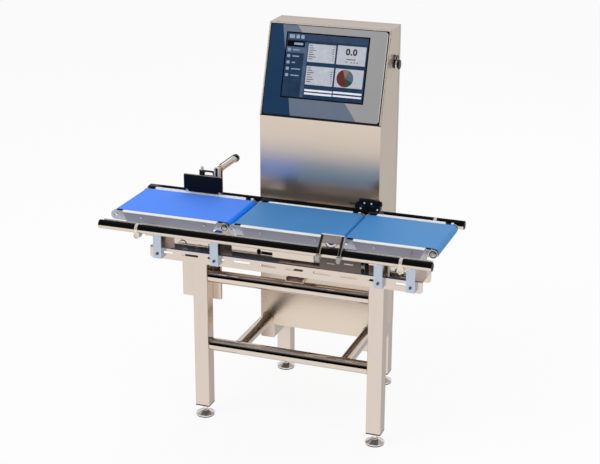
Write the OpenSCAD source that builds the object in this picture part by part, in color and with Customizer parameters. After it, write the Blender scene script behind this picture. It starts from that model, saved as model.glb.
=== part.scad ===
// In-line checkweigher: an infeed, a weighing and a reject belt on a slotted channel beam,
// with a control column behind. Millimetres, +Z up, +X along the belts, +Y to the back.
// The origin lies on the floor under the middle of the machine.

/* [Stand] */
// Height of the belts' top above the floor
belt_top_z = 880; // [860:1:900]
// Centre line of the belts, channel and legs' outer frame in Y
belt_y = -140; // [-150:1:-130]
// Middle of the two front legs in X
stand_x = 37.5; // [30:0.5:45]
// Distance between the centres of the front legs
front_leg_pitch = 720; // [640:1:780]
// Outside size of the square leg tube
leg_size = 60; // [50:1:65]
// Wall of the square leg tube
leg_wall = 2; // [1.5:0.5:3]
// Outer corner radius of the square leg tube
leg_corner = 5; // [3:0.5:8]
// Height of the legs' lower ends above the floor
leg_bottom_z = 55; // [50:1:80]
// Outside diameter of the round cross bars
bar_d = 50; // [40:1:54]
// Wall of the round cross bars
bar_wall = 2; // [1.5:0.5:3]
// Height of the lower cross bar's axis
lower_bar_z = 318; // [318:1:360]
// Height of the upper cross bar's axis
upper_bar_z = 609; // [560:1:630]

/* [Channel beam] */
// Length of the channel beam
channel_length = 1110; // [1060:1:1140]
// Middle of the channel beam in X
channel_x = 22; // [10:1:30]
// Depth of the channel beam
channel_depth = 120; // [110:1:130]
// Height of its two flanges
channel_height = 48; // [40:1:55]
// Sheet thickness
channel_wall = 3; // [2:0.5:4]
// Depth of the channel's top below the belts' top
channel_drop = 166; // [156:1:176]
// Radius of the flanges' lower corners at the ends
channel_corner = 12; // [6:1:18]
// Number of slots in each flange
slot_count = 10; // [8:1:10]
// Distance between slots
slot_pitch = 108.5; // [100:0.5:110]
// Length of a slot
slot_length = 69; // [50:1:74]
// Height of a slot
slot_height = 9; // [8:0.5:11]

/* [Conveyors] */
// Length of the reject conveyor, nose to nose
reject_length = 487; // [460:1:500]
// Length of the weighing conveyor
weigh_length = 441; // [425:1:460]
// Length of the infeed conveyor
infeed_length = 364; // [350:1:370]
// Left nose of the reject conveyor in X
conveyors_start_x = -645.5; // [-648:0.5:-640]
// Gap between the belts of two conveyors
nose_gap = 3; // [2:0.5:5]
// Width of a belt
belt_width = 270; // [240:1:300]
// Thickness of a belt
belt_t = 1.5; // [1:0.1:2.5]
// Radius over the belt at a nose
nose_r = 18; // [17:0.5:20]
// Width of a side profile
side_t = 14; // [12:0.5:18]
// Height of a side profile
side_h = 44; // [41:0.5:46]
// Step from the belt's top down to the side profile's top
ledge_drop = 1; // [0.5:0.5:3]

/* [Guard rails] */
// Length of the front guard rail
rail_length = 1310; // [1300:1:1320]
// Length of the rear guard rail
rear_rail_length = 1278; // [1240:1:1300]
// Diameter of a guard rail
rail_d = 34; // [30:1:38]
// Distance of the rails' axes from the belts' centre line
rail_offset = 235; // [225:1:245]
// Depth of the rails' axes below the belts' top
rail_drop = 32; // [28:1:36]
// Diameter of the rods that carry the rails
rod_d = 16; // [12:1:18]

/* [Column] */
// Width of the control column
column_w = 500; // [470:1:520]
// Middle of the column in X
column_x = 45.5; // [40:0.5:50]
// Front face of the column in Y
column_front_y = 152; // [145:1:160]
// Depth of the column with its rear door
column_depth = 247; // [240:1:260]
// Underside of the column
column_bottom_z = 292; // [285:1:293]
// Height of the slanted operator panel
panel_rise = 353; // [340:1:390]
// Top of the column
column_top_z = 1540; // [1520:1:1560]
// Depth of the column's top face with its rear door
column_top_depth = 130; // [120:1:140]
// Sheet thickness of the column
column_wall = 2; // [1.5:0.5:3]
// Depth of the rear door's tray
door_depth = 20; // [16:1:24]

/* [Reject pusher] */
// Width of the pusher pad
pad_w = 164; // [140:1:180]
// Height of the pusher pad
pad_h = 70; // [60:1:80]
// Middle of the pusher pad in X
pad_x = -389; // [-400:1:-380]
// Axis of the cylinder in X
cylinder_x = -333.5; // [-340:0.5:-330]
// Height of the cylinder's axis above the belts' top
cylinder_rise = 99; // [95:1:105]
// Diameter of the cylinder tube
cylinder_d = 25; // [24:1:28]
// Stroke of the pusher
stroke = 130; // [100:1:140]

/* [Hidden] */
$fn = 64;
over = 1;
fit = 0.05;
seat_gap = 0.3;

// Stand: places that follow from the driving sizes
channel_top_z = belt_top_z - channel_drop;
channel_front_y = belt_y - channel_depth / 2;
channel_back_y = belt_y + channel_depth / 2;
front_leg_y = channel_front_y + leg_size / 2;
front_leg_xs = [stand_x - front_leg_pitch / 2, stand_x + front_leg_pitch / 2];
rear_leg_xs = [column_x - (column_w - leg_size) / 2, column_x + (column_w - leg_size) / 2];
column_back_y = column_front_y + column_depth;
rear_leg_y = column_back_y - leg_size / 2;
bar_r = bar_d / 2;
cap_flange = 5;
cap_plug = 20;
cap_play = 0.2;
tube_end_t = 3;
slot_drop = 20;
slots_x = channel_x - 4;
bend_r = 4;

// Levelling feet
stem_r = 8;
stem_top = 40;
foot_r = 38;
foot_rim = 4;
foot_cone_top_r = 13;
foot_cone_z = 24;
pad_t = 5;
pad_rim = 2;
foot_nut_r = 13;
foot_nut_t = 8;

// Cable tray between the upper bar and the column
tray_w = 72;
tray_h = 15;
tray_t = 2;
tray_x = 65.5;
tray_front = 12;
tray_ear = 22;

// Valve plate behind the left front leg
valve_plate_x = -341;
valve_plate_w = 163;
valve_plate_z = 500;
valve_plate_t = 2;
valve_plate_return = 15;
valve_size = [90, 36, 80];
valve_z = 566;
valve_port_r = 5;
valve_port_depth = 18;
valve_port_pitch = 26;

// Support plates and saddles under the outer conveyors
plate_w = 34;
plate_t = 6;
plate_stand = 25;
plate_bottom_drop = 40;
plate_tops = [76, 76, 76, 56];
plate_chamfer = 13;
support_xs = [-491, -250, 411, 536];
rod_shift = 6;
rod_supports = [0, 3];
web_t = 5;
beam_t = 8;
beam_drop = 45;
spacer_h = 40;

// Base trays on the channel
base_depth = 60;
base_t = 2;
base_h = 38;
tower_h = 61;
side_trays = [[-441, -296], [440, 519]];
weigh_tray = [-197.5, 341.5];
hollow_w = 180;
hollow_h = 26;
mount_plate_t = 3;
arch_r = 18;
arch_w = 5;
oval_w = 17;
oval_h = 23;
window_w = 46;
window_h = 12;

// Weigh cell
housing_w = 166;
housing_d = 140;
housing_h = 60;
housing_x = 69.5;
housing_wall = 2;
cell_size = [130, 36, 40];
cell_foot = 35;
cell_rise = 8;
cell_hole_r = 11;
cell_hole_pitch = 46;
cell_web = 3;
boss_r = 15;
boss_hole_r = 22;
carrier_t = 8;
carrier_pitch = 180;
carrier_strip = 90;

// Conveyors
conveyor_lengths = [reject_length, weigh_length, infeed_length];
conveyor_w = belt_width + 2 * side_t + 2;
half_in = belt_width / 2 + 1;
half_out = half_in + side_t;
ledge_z = belt_top_z - ledge_drop;
side_bottom_z = ledge_z - side_h;
axis_z = belt_top_z - nose_r;
belt_inner_r = nose_r - belt_t;
roller_r = belt_inner_r - seat_gap;
roller_play = 3;
bearing_r = 11;
bearing_bore_r = 4;
bearing_w = 7;
shaft_r = bearing_bore_r - fit;
shaft_hole_r = 6;
tip_over = 6;
tip_r = 19;
bracket_t = side_t - 1;
slant_top = 42;
slant_bottom = 62;
tail_top = 50;
tail_bottom = 68;
boss_outer_r = 13;
side_wall = 4;
side_lip = 10;
side_top_t = 5;
side_round = 6.5;
bed_t = 2;
bed_flange = 20;
bed_end_gap = 4;
insert_d = 9;
insert_t = 4;
insert_left = [18, 42];
insert_right = [40, 28];
insert_proud = 0.4;
motor_r = 23;
motor_length = 150;
motor_shift = 55;
motor_z = side_bottom_z - motor_r - over;
drive_plate_t = 2;
pulley_r = 7.5;
pulley_w = 10;
pulley_y = belt_y + half_out + 2 * drive_plate_t;
timing_t = 1.2;
timing_play = 1;
cover_depth = 24;
cover_wall = 2;
cover_top_z = belt_top_z + 8;
screw_r = 4.5;
screw_h = 3;
socket_r = 2.5;
socket_depth = 2;

// Guard rails
rail_r = rail_d / 2;
rail_z = belt_top_z - rail_drop;
rail_key = 12;
strap_w = 12;
strap_t = 1.5;
rod_r = rod_d / 2;
rod_z = rail_z - 26;
clip_r = 12;
clip_length = 28;
clip_lift = 6;
rod_inset = 2;

// Photo sensor and its reflector
reflector_x = 275.5;
reflector_w = 91;
reflector_leg = 12;
reflector_bar_h = 34;
reflector_h = 68;
reflector_t = 3;
reflector_lean = 43;
reflector_gap = 24;
reflector_slot_r = 22;
reflector_slot_w = 4;
reflector_corner = 9;
lens_w = 50;
lens_h = 24;
lens_t = 6;
foot_block_w = 16;
foot_block_tip = 10;
foot_block_h = 22;
foot_block_reach = 35;
sensor_x = 290;
sensor_w = 100;
sensor_d = 24;
sensor_h = 32;
sensor_lift = 10;
sensor_y = 18;
sensor_chamfer = 12;
sensor_eye_r = 4;
sensor_stub_r = 2;
sensor_stub = 27;
sensor_plate_t = 3;

// Reject pusher
pad_t_y = 9;
pad_front_y = -4;
pad_lift = 8;
backing_t = 3;
backing_lip = 5.5;
yoke_t = 3;
yoke_w = 64;
yoke_left = -412;
yoke_rise = 19;
yoke_gap = 9;
yoke_arch_r = 18;
yoke_arch_rise = 11;
fork_w = 22;
fork_slot = 10;
fork_depth = 18;
fork_drop = 42;
fork_rise = 13;
yoke_knob_r = 6;
yoke_knob_h = 13;
rod_end_r = 5;
pusher_rod_start = 12;
piston_w = 12;
neck_r = 10;
nose_start = 30;
nut_t = 4;
nut_r = 14;
support_t = 6;
support_w = 27;
support_neck_w = 26;
support_foot_z = 38;
support_foot_h = 26;
support_shoulder = 48;
head_w = 12;
head_r = 14;
tube_length = stroke + piston_w + 2 * over;
rear_cap_w = 16;
rear_cap_r = 16;
port_r = 4;
port_depth = 10;
bore_wall = 2.5;

// Column
sheet = column_wall;
shell_back_y = column_back_y - door_depth - 1.5;
door_front_y = column_back_y - door_depth;
column_left_x = column_x - column_w / 2;
column_right_x = column_x + column_w / 2;
panel_run = column_depth - column_top_depth;
panel_base_z = column_top_z - panel_rise;
panel_tilt = atan2(panel_run, panel_rise);
panel_h = sqrt(panel_run * panel_run + panel_rise * panel_rise);
flange_w = 20;
seal_w = 12;
seal_inset = 1;
door_t = 1.5;
gasket_t = 2;
gasket_edge = 8;
overlay_margin = [10, 9];
overlay_t = 2;
overlay_corner = 12;
screen_left = 77.5;
screen_bottom = 77.5;
screen_right = 79.5;
screen_top = 34.9;
screen_w = column_w - screen_left - screen_right;
screen_h = panel_h - screen_bottom - screen_top;
screen_play = 0.5;
screen_t = 3.8;
cutout_margin = 9;
display_depth = 40;
display_play = 3;
control_edge = 40;
control_foot = 48;
control_head = 127;
control_t = 3;
control_z = column_bottom_z + control_foot;
control_size = [column_w - 2 * control_edge, control_t, panel_base_z - control_head - control_z];
standoff = 6;
standoff_r = 6;
standoff_inset = 15;
cable_hole_r = 15;

// Rear door's hinges and lock
hinge_end = 158;
hinge_mid_z = (column_bottom_z + column_top_z) / 2;
hinge_zs = [column_bottom_z + hinge_end, hinge_mid_z, column_top_z - hinge_end];
hinge_h = 60;
hinge_share = 0.4;
hinge_r = 6;
hinge_pin_r = 3;
hinge_out = 7;
hinge_in = 0.8;
leaf_t = 2;
leaf_w = 24;
leaf_gap = 0.8;
lock_inset = 30;
lock_z = hinge_mid_z;
lock_shaft_r = 8;
lock_plate_r = 15;
lock_plate_t = 4.7;
lock_wing = [8, 6, 40];
cam_t = 3;
cam_w = 14;
cam_reach = 24;
cam_depth = 6;

// Push button on the column's right side
button_y = 322;
button_drop = 143.5;
button_z = column_top_z - button_drop;
button_base_r = 13;
button_base_t = 5;
button_ring_r = 15;
button_ring_t = 8;
button_shank_r = 10;
button_shank = 20;
button_stem_r = 5;
button_travel = 4;
button_head_r = 15.5;
button_head_t = 6;
button_rim = 1.5;
lug_xs = [1.5, 10.5];
lug_t = 2.5;
lug_r = 13;
lug_hole_r = 8;
lug_rise = 25;

// Colours of the finishes
steel = "#dcd0c4";
steel_side = "#b8aa96";
polished = "#c9c4bd";
profile_grey = "#93939c";
bracket_silver = "#c3cad6";
plate_blue = "#b8c6d8";
black = "#15161a";
bright_blue = "#588df5";
belt_blue = "#4a82bc";

// Rectangle with round corners, centred
module round_rect(w, d, r) {
    square([w - 2 * r, d], center = true);
    square([w, d - 2 * r], center = true);
    for (sx = [-1, 1], sy = [-1, 1])
        translate([sx * (w / 2 - r), sy * (d / 2 - r)]) circle(r);
}

// Stadium along X between two centres
module stadium(xa, xb, r) {
    translate([xa, 0]) circle(r);
    translate([xb, 0]) circle(r);
    translate([xa, -r]) square([xb - xa, 2 * r]);
}

// Square tube standing on the XY plane
module square_tube(h) {
    linear_extrude(h) difference() {
        round_rect(leg_size, leg_size, leg_corner);
        round_rect(leg_size - 2 * leg_wall, leg_size - 2 * leg_wall, leg_corner - leg_wall);
    }
}

// Cylinder along Y from y to y + l
module rod_y(x, y, z, r, l) {
    translate([x, y, z]) rotate([-90, 0, 0]) cylinder(r = r, h = l);
}

// Cylinder along X from x to x + l
module rod_x(x, y, z, r, l) {
    translate([x, y, z]) rotate([0, 90, 0]) cylinder(r = r, h = l);
}

// Extrudes a shape drawn in X and Z along Y, from y to y + l
module extrude_y(y, l) {
    translate([0, y + l, 0]) rotate([90, 0, 0]) linear_extrude(l) children();
}

// Extrudes a shape drawn in Y and Z along X, from x to x + l
module extrude_x(x, l) {
    translate([x, 0, 0]) rotate([90, 0, 90]) linear_extrude(l) children();
}

// Box between two corners
module box(a, b) {
    translate(a) cube(b - a);
}

// Copies a piece to the other side of the belts' centre line
module both_sides() {
    children();
    translate([0, 2 * belt_y, 0]) mirror([0, 1, 0]) children();
}

module leg_places() {
    for (x = front_leg_xs) translate([x, front_leg_y, 0]) children();
    for (x = rear_leg_xs) translate([x, rear_leg_y, 0]) children();
}

// Square tubes: front legs notched for the channel's flange, rear legs, and the two
// tubes under the column, closed in front and butted to the rear legs
module stand_tubes() {
    flange_bottom_z = channel_top_z - channel_height;
    color(steel) {
        for (x = front_leg_xs) translate([x, front_leg_y, 0]) difference() {
            translate([0, 0, leg_bottom_z]) square_tube(channel_top_z - channel_wall - leg_bottom_z);
            box([-leg_size, -leg_size, flange_bottom_z],
                [leg_size, channel_wall - leg_size / 2, channel_top_z]);
        }
        for (x = rear_leg_xs) {
            translate([x, rear_leg_y, leg_bottom_z]) square_tube(column_bottom_z - leg_bottom_z);
            translate([x, column_front_y, column_bottom_z - leg_size / 2]) rotate([-90, 0, 0]) {
                square_tube(column_depth - leg_size);
                linear_extrude(tube_end_t) round_rect(leg_size, leg_size, leg_corner);
            }
        }
    }
}

// Plastic insert in the lower end of a leg, with the thread for the foot
module leg_cap() {
    plug = leg_size - 2 * leg_wall - 2 * cap_play;
    difference() {
        union() {
            translate([0, 0, leg_bottom_z - cap_flange])
                linear_extrude(cap_flange) round_rect(leg_size, leg_size, leg_corner);
            translate([0, 0, leg_bottom_z - cap_flange])
                linear_extrude(cap_flange + cap_plug) round_rect(plug, plug, leg_corner - leg_wall);
        }
        translate([0, 0, leg_bottom_z - cap_flange - over])
            cylinder(r = stem_r + fit, h = cap_flange + cap_plug + 2 * over);
    }
}

module leg_caps() {
    color(black) leg_places() leg_cap();
}

// Turned cone with its threaded stem and lock nut
module levelling_foot() {
    rotate_extrude() polygon([
        [0, pad_t + seat_gap], [foot_r, pad_t + seat_gap], [foot_r, pad_t + foot_rim],
        [foot_cone_top_r, foot_cone_z - foot_rim / 2], [foot_cone_top_r, foot_cone_z],
        [stem_r, foot_cone_z], [stem_r, leg_bottom_z + stem_top], [0, leg_bottom_z + stem_top],
    ]);
    translate([0, 0, leg_bottom_z - cap_flange - foot_nut_t - seat_gap])
        cylinder(r = foot_nut_r, h = foot_nut_t, $fn = 6);
}

module front_foot(i) {
    color(polished) translate([front_leg_xs[i], front_leg_y, 0]) levelling_foot();
}

module rear_foot(i) {
    color(polished) translate([rear_leg_xs[i], rear_leg_y, 0]) levelling_foot();
}

module foot_front_left() { front_foot(0); }

module foot_front_right() { front_foot(1); }

module foot_rear_left() { rear_foot(0); }

module foot_rear_right() { rear_foot(1); }

module foot_pads() {
    color(black) leg_places() cylinder(r = foot_r - pad_rim, h = pad_t);
}

// Inverted channel with round-cornered ends and a row of slots in each flange
module channel_beam() {
    slot_z = channel_top_z - slot_drop;
    x0 = channel_x - channel_length / 2;
    bottom_z = channel_top_z - channel_height;
    color(steel) difference() {
        extrude_x(x0, channel_length) difference() {
            translate([belt_y, channel_top_z - channel_height / 2])
                union() {
                    square([channel_depth, channel_height - 2 * bend_r], center = true);
                    translate([0, -bend_r / 2])
                        square([channel_depth, channel_height - bend_r], center = true);
                    square([channel_depth - 2 * bend_r, channel_height], center = true);
                    for (s = [-1, 1])
                        translate([s * (channel_depth / 2 - bend_r), channel_height / 2 - bend_r])
                            circle(bend_r);
                }
            translate([channel_front_y + channel_wall, bottom_z - over])
                square([channel_depth - 2 * channel_wall, channel_height - channel_wall + over]);
        }
        extrude_y(channel_front_y - over, channel_depth + 2 * over) {
            for (i = [0 : slot_count - 1])
                translate([slots_x + (i - (slot_count - 1) / 2) * slot_pitch, slot_z])
                    stadium(-(slot_length - slot_height) / 2, (slot_length - slot_height) / 2,
                            slot_height / 2);
            for (s = [-1, 1])
                translate([channel_x + s * channel_length / 2, bottom_z])
                    difference() {
                        square(2 * channel_corner, center = true);
                        translate([-s * channel_corner, channel_corner]) circle(channel_corner);
                        translate([-s * channel_corner - channel_corner, channel_corner])
                            square([2 * channel_corner, channel_corner]);
                        translate([s < 0 ? channel_corner : -2 * channel_corner, -channel_corner])
                            square([channel_corner, 3 * channel_corner]);
                    }
        }
    }
}

// Round tube between two inner faces, with an open bore
module pipe_x(x, y, z, l) {
    difference() {
        rod_x(x, y, z, bar_r, l);
        rod_x(x - over, y, z, bar_r - bar_wall, l + 2 * over);
    }
}

module stand_bars() {
    x0 = front_leg_xs[0] + leg_size / 2;
    span = front_leg_pitch - leg_size;
    color(steel) {
        pipe_x(x0, front_leg_y, upper_bar_z, span);
        pipe_x(x0, front_leg_y, lower_bar_z, span);
        for (x = rear_leg_xs) difference() {
            rod_y(x, front_leg_y, lower_bar_z, bar_r, column_front_y - front_leg_y);
            rod_y(x, front_leg_y - over, lower_bar_z, bar_r - bar_wall,
                  column_front_y - front_leg_y + 2 * over);
            rod_x(x0, front_leg_y, lower_bar_z, bar_r, span);
        }
    }
}

module cable_tray() {
    bottom_z = upper_bar_z + bar_r;
    y0 = front_leg_y - tray_front;
    color(polished) {
        extrude_y(y0, column_front_y - y0) translate([tray_x, bottom_z]) difference() {
            translate([-tray_w / 2, 0]) square([tray_w, tray_h]);
            translate([-tray_w / 2 + tray_t, tray_t]) square([tray_w - 2 * tray_t, tray_h]);
        }
        difference() {
            extrude_y(column_front_y - tray_t, tray_t)
                translate([tray_x - tray_w / 2 - tray_ear, bottom_z])
                    square([tray_w + 2 * tray_ear, tray_h + tray_ear]);
            rod_y(tray_x, column_front_y - tray_t - over, bottom_z + tray_t + cable_hole_r, cable_hole_r,
                  tray_t + 2 * over);
        }
    }
}

// Folded plate on the back of the left front leg
module valve_plate() {
    y0 = front_leg_y + leg_size / 2;
    top_z = channel_top_z - channel_wall;
    color(steel) {
        translate([valve_plate_x - valve_plate_w / 2, y0, valve_plate_z])
            cube([valve_plate_w, valve_plate_t, top_z - valve_plate_z]);
        for (s = [-1, 1])
            translate([valve_plate_x + s * (valve_plate_w - valve_plate_t) / 2
                       - valve_plate_t / 2, y0, valve_plate_z])
                cube([valve_plate_t, valve_plate_return, top_z - valve_plate_z]);
    }
}

// Solenoid valve with its three air ports, on the back of the valve plate
module air_valve() {
    y0 = front_leg_y + leg_size / 2 + valve_plate_t;
    color(black) translate([valve_plate_x - valve_size[0] / 2, y0, valve_z]) difference() {
        cube(valve_size);
        for (i = [-1, 0, 1])
            translate([valve_size[0] / 2 + i * valve_port_pitch, valve_size[1] / 2, -over])
                cylinder(r = valve_port_r, h = valve_port_depth + over);
    }
}

function plate_top_z(i) = channel_top_z + plate_tops[i];

// Upright plate with its spacer pad and one screw hole, in front of the channel
module support_plate(i) {
    y0 = channel_front_y - plate_stand;
    bottom_z = channel_top_z - plate_bottom_drop;
    top_z = plate_top_z(i);
    difference() {
        union() {
            extrude_y(y0, plate_t) polygon([
                [support_xs[i] - plate_w / 2, bottom_z], [support_xs[i] + plate_w / 2, bottom_z],
                [support_xs[i] + plate_w / 2, top_z], [support_xs[i] - plate_w / 2 + plate_chamfer, top_z],
                [support_xs[i] - plate_w / 2, top_z - plate_chamfer],
            ]);
            box([support_xs[i] - plate_w / 2, y0 + plate_t, bottom_z],
                [support_xs[i] + plate_w / 2, channel_front_y, bottom_z + spacer_h]);
        }
        rod_y(support_xs[i], y0 - over, channel_top_z - slot_drop, slot_height / 2, plate_stand + 2 * over);
    }
}

module support_plates() {
    color(plate_blue) both_sides() for (i = [0 : len(support_xs) - 1]) support_plate(i);
}

function rod_x_of(i) = support_xs[i] + (support_xs[i] < channel_x ? -rod_shift : rod_shift);

// Welded saddle: web on the channel, cross beam and the two posts under the side profiles
module support_saddle(i) {
    x = support_xs[i];
    beam_z = side_bottom_z - beam_drop;
    web_y = channel_front_y - plate_stand + plate_t;
    web_w = channel_depth + 2 * (plate_stand - plate_t);
    translate([x + plate_w / 2 - web_t, web_y, channel_top_z])
        cube([web_t, web_w, beam_z - channel_top_z + over]);
    translate([x - plate_w / 2, belt_y - half_out, beam_z]) cube([plate_w, 2 * half_out, beam_t]);
    for (s = [-1, 1])
        translate([x - plate_w / 2, belt_y + s * (half_out - side_t / 2) - side_t / 2, beam_z])
            cube([plate_w, side_t, beam_drop]);
}

module support_saddles() {
    color(polished) difference() {
        for (i = [0 : len(support_xs) - 1]) support_saddle(i);
        for (i = rod_supports)
            rod_y(rod_x_of(i), belt_y - rail_offset, rod_z, rod_r, 2 * rail_offset);
    }
}

// Open-ended cover of folded sheet standing on the channel
module folded_tray(x0, x1, h) {
    extrude_x(x0, x1 - x0) translate([belt_y - base_depth / 2, channel_top_z]) difference() {
        square([base_depth, h]);
        translate([base_t, -over]) square([base_depth - 2 * base_t, h - base_t + over]);
    }
}

module slot_cut(x, z, l, w) {
    extrude_y(belt_y - base_depth, 2 * base_depth) translate([x, z])
        stadium(-(l - w) / 2, (l - w) / 2, w / 2);
}

// Half-round slit
module arch_cut(x, z) {
    extrude_y(belt_y - base_depth, 2 * base_depth) translate([x, z]) difference() {
        circle(arch_r);
        circle(arch_r - arch_w);
        translate([-arch_r, -2 * arch_r]) square(2 * arch_r);
    }
}

module base_trays() {
    hollow_x0 = housing_x - hollow_w / 2;
    plate_z = channel_top_z + hollow_h;
    mid_z = channel_top_z + hollow_h / 2;
    color(polished) {
        for (t = side_trays) difference() {
            folded_tray(t[0], t[1], base_h);
            arch_cut(t[0] + 2 * arch_r, mid_z);
            slot_cut(t[1] - 2 * arch_r, channel_top_z + arch_w, window_w, arch_w);
            extrude_y(belt_y - base_depth, 2 * base_depth)
                translate([t[1] - 2 * arch_r, channel_top_z + base_h / 2]) circle(arch_w / 2);
        }
        difference() {
            folded_tray(weigh_tray[0], weigh_tray[1], tower_h);
            box([hollow_x0, belt_y - base_depth, plate_z], [hollow_x0 + hollow_w, belt_y + base_depth,
                channel_top_z + tower_h + over]);
            extrude_y(belt_y - base_depth, 2 * base_depth) {
                for (s = [-1, 1])
                    translate([housing_x + s * (hollow_w / 2 + window_w + oval_w + over),
                               channel_top_z + hollow_h - bend_r]) rotate(90)
                        stadium(-(oval_h - oval_w) / 2, (oval_h - oval_w) / 2, oval_w / 2);
                for (s = [-1, 1])
                    translate([housing_x + s * (hollow_w + window_w + oval_w) / 2,
                               channel_top_z + hollow_h - window_h / 2])
                        round_rect(window_w, window_h, window_h / 4);
            }
        }
        box([housing_x - housing_w / 2, belt_y - housing_d / 2, plate_z - base_t],
            [housing_x + housing_w / 2, belt_y + housing_d / 2, plate_z + mount_plate_t - base_t]);
        box([housing_x - cell_size[0] / 2, belt_y - cell_size[1] / 2, plate_z],
            [housing_x - cell_size[0] / 2 + cell_foot, belt_y + cell_size[1] / 2,
             plate_z + mount_plate_t - base_t + cell_rise]);
    }
}

cell_bottom_z = channel_top_z + hollow_h + mount_plate_t - base_t + cell_rise;
cell_top_z = cell_bottom_z + cell_size[2];
housing_bottom_z = channel_top_z + hollow_h + mount_plate_t - base_t;
boss_x = housing_x + (cell_size[0] - cell_foot) / 2;
carrier_z = side_bottom_z - beam_t - beam_drop / 2;

// Single-point load cell: bar with two joined round openings
module load_cell() {
    color("silver") difference() {
        translate([housing_x - cell_size[0] / 2, belt_y - cell_size[1] / 2, cell_bottom_z]) cube(cell_size);
        extrude_y(belt_y - cell_size[1], 2 * cell_size[1])
            translate([housing_x, cell_bottom_z + cell_size[2] / 2]) {
                for (s = [-1, 1]) translate([s * cell_hole_pitch / 2, 0]) circle(cell_hole_r);
                square([cell_hole_pitch, cell_web], center = true);
            }
    }
}

module weigh_housing() {
    x0 = housing_x - housing_w / 2;
    y0 = belt_y - housing_d / 2;
    color(steel) difference() {
        translate([x0, y0, housing_bottom_z]) cube([housing_w, housing_d, housing_h]);
        translate([x0 + housing_wall, y0 + housing_wall, housing_bottom_z - over])
            cube([housing_w - 2 * housing_wall, housing_d - 2 * housing_wall,
                  housing_h - housing_wall + over]);
        translate([boss_x, belt_y, housing_bottom_z]) cylinder(r = boss_hole_r, h = housing_h + over);
    }
}

// Frame on the load cell's free end that carries the weighing conveyor
module weigh_carrier() {
    mid_x = conveyor_x0(1) + weigh_length / 2;
    color(polished) {
        translate([boss_x, belt_y, cell_top_z]) cylinder(r = boss_r, h = carrier_z - cell_top_z + over);
        translate([mid_x - carrier_pitch / 2, belt_y - carrier_strip / 2, carrier_z])
            cube([carrier_pitch, carrier_strip, carrier_t]);
        for (s = [-1, 1]) {
            x = mid_x + s * carrier_pitch / 2 - plate_w / 2;
            translate([x, belt_y - half_out, carrier_z]) cube([plate_w, 2 * half_out, carrier_t]);
            for (t = [-1, 1])
                translate([x, belt_y + t * (half_out - side_t / 2) - side_t / 2, carrier_z])
                    cube([plate_w, side_t, side_bottom_z - carrier_z]);
        }
    }
}

function conveyor_x0(i) = conveyors_start_x + (i > 0 ? reject_length + nose_gap : 0)
    + (i > 1 ? weigh_length + nose_gap : 0);
function conveyor_x1(i) = conveyor_x0(i) + conveyor_lengths[i];
function drive_x(i) = conveyor_x0(i) + nose_r;
function idler_x(i) = conveyor_x1(i) - nose_r;

// C-shaped side profile with a round shoulder and slanted ends; the lip points inwards
module side_plate(i) {
    x0 = conveyor_x0(i);
    x1 = conveyor_x1(i);
    intersection() {
        extrude_x(x0, x1 - x0) translate([belt_y, 0]) difference() {
            union() {
                translate([-half_out, side_bottom_z]) square([side_t, side_h - side_round]);
                translate([-half_out + side_round, ledge_z - 2 * side_round])
                    square([side_t - side_round, 2 * side_round]);
                translate([-half_out + side_round, ledge_z - side_round]) circle(side_round);
            }
            translate([-half_out + side_wall, side_bottom_z + side_wall])
                square([side_t, side_h - side_wall - side_top_t]);
            translate([-half_out + side_lip, side_bottom_z - over]) square([side_t, side_wall + 2 * over]);
        }
        extrude_y(belt_y - half_out - over, side_t + 2 * over) polygon([
            [x0 + slant_top, ledge_z], [x1 - tail_top, ledge_z],
            [x1 - tail_bottom, side_bottom_z], [x0 + slant_bottom, side_bottom_z],
        ]);
    }
}

module side_plates() {
    color(profile_grey) both_sides() for (i = [0 : 2]) side_plate(i);
}

// Recess in the top of the end brackets for the black inserts
module insert_block(x0, x1, d, z_top) {
    translate([x0, belt_y - half_in - (side_t + d) / 2, ledge_z - insert_t])
        cube([x1 - x0, d, z_top - ledge_z + insert_t]);
}

// Drive end: closed outside, round tip past the nose
module left_bracket(i) {
    x0 = conveyor_x0(i);
    tip_x = x0 - tip_over + tip_r;
    bottom_z = ledge_z - 2 * tip_r;
    share = (ledge_z - bottom_z) / side_h;
    extrude_y(belt_y - half_in - bracket_t, bracket_t) {
        translate([tip_x, ledge_z - tip_r]) circle(tip_r);
        polygon([
            [tip_x, bottom_z], [x0 + slant_top + share * (slant_bottom - slant_top), bottom_z],
            [x0 + slant_top, ledge_z], [tip_x, ledge_z],
        ]);
    }
}

// Idler end: open bearing in a round boss
module right_bracket(i) {
    x1 = conveyor_x1(i);
    bottom_z = axis_z - boss_outer_r;
    share = (ledge_z - bottom_z) / side_h;
    extrude_y(belt_y - half_in - bracket_t, bracket_t) {
        translate([idler_x(i), axis_z]) circle(boss_outer_r);
        polygon([
            [x1 - tail_top - share * (tail_bottom - tail_top), bottom_z], [idler_x(i), bottom_z],
            [idler_x(i), axis_z + boss_outer_r], [idler_x(i) - boss_outer_r, ledge_z],
            [x1 - tail_top, ledge_z],
        ]);
    }
}

module end_brackets() {
    y_in = belt_y - half_in;
    color(bracket_silver) for (i = [0 : 2]) {
        both_sides() difference() {
            left_bracket(i);
            rod_y(drive_x(i), y_in - bearing_w, axis_z, bearing_r, bearing_w + over);
            insert_block(conveyor_x0(i) + insert_left[0], conveyor_x0(i) + insert_left[1] + over,
                         insert_d, ledge_z + over);
            rod_y(drive_x(i), y_in - side_t - over, axis_z, shaft_hole_r, side_t + 2 * over);
        }
        both_sides() difference() {
            right_bracket(i);
            rod_y(idler_x(i), y_in - bracket_t - over, axis_z, bearing_r, bearing_w + over);
            rod_y(idler_x(i), y_in - bracket_t - over, axis_z, shaft_hole_r, bracket_t + 2 * over);
            insert_block(conveyor_x1(i) - insert_right[0], conveyor_x1(i) - insert_right[1],
                         insert_d, ledge_z + over);
        }
    }
}

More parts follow.
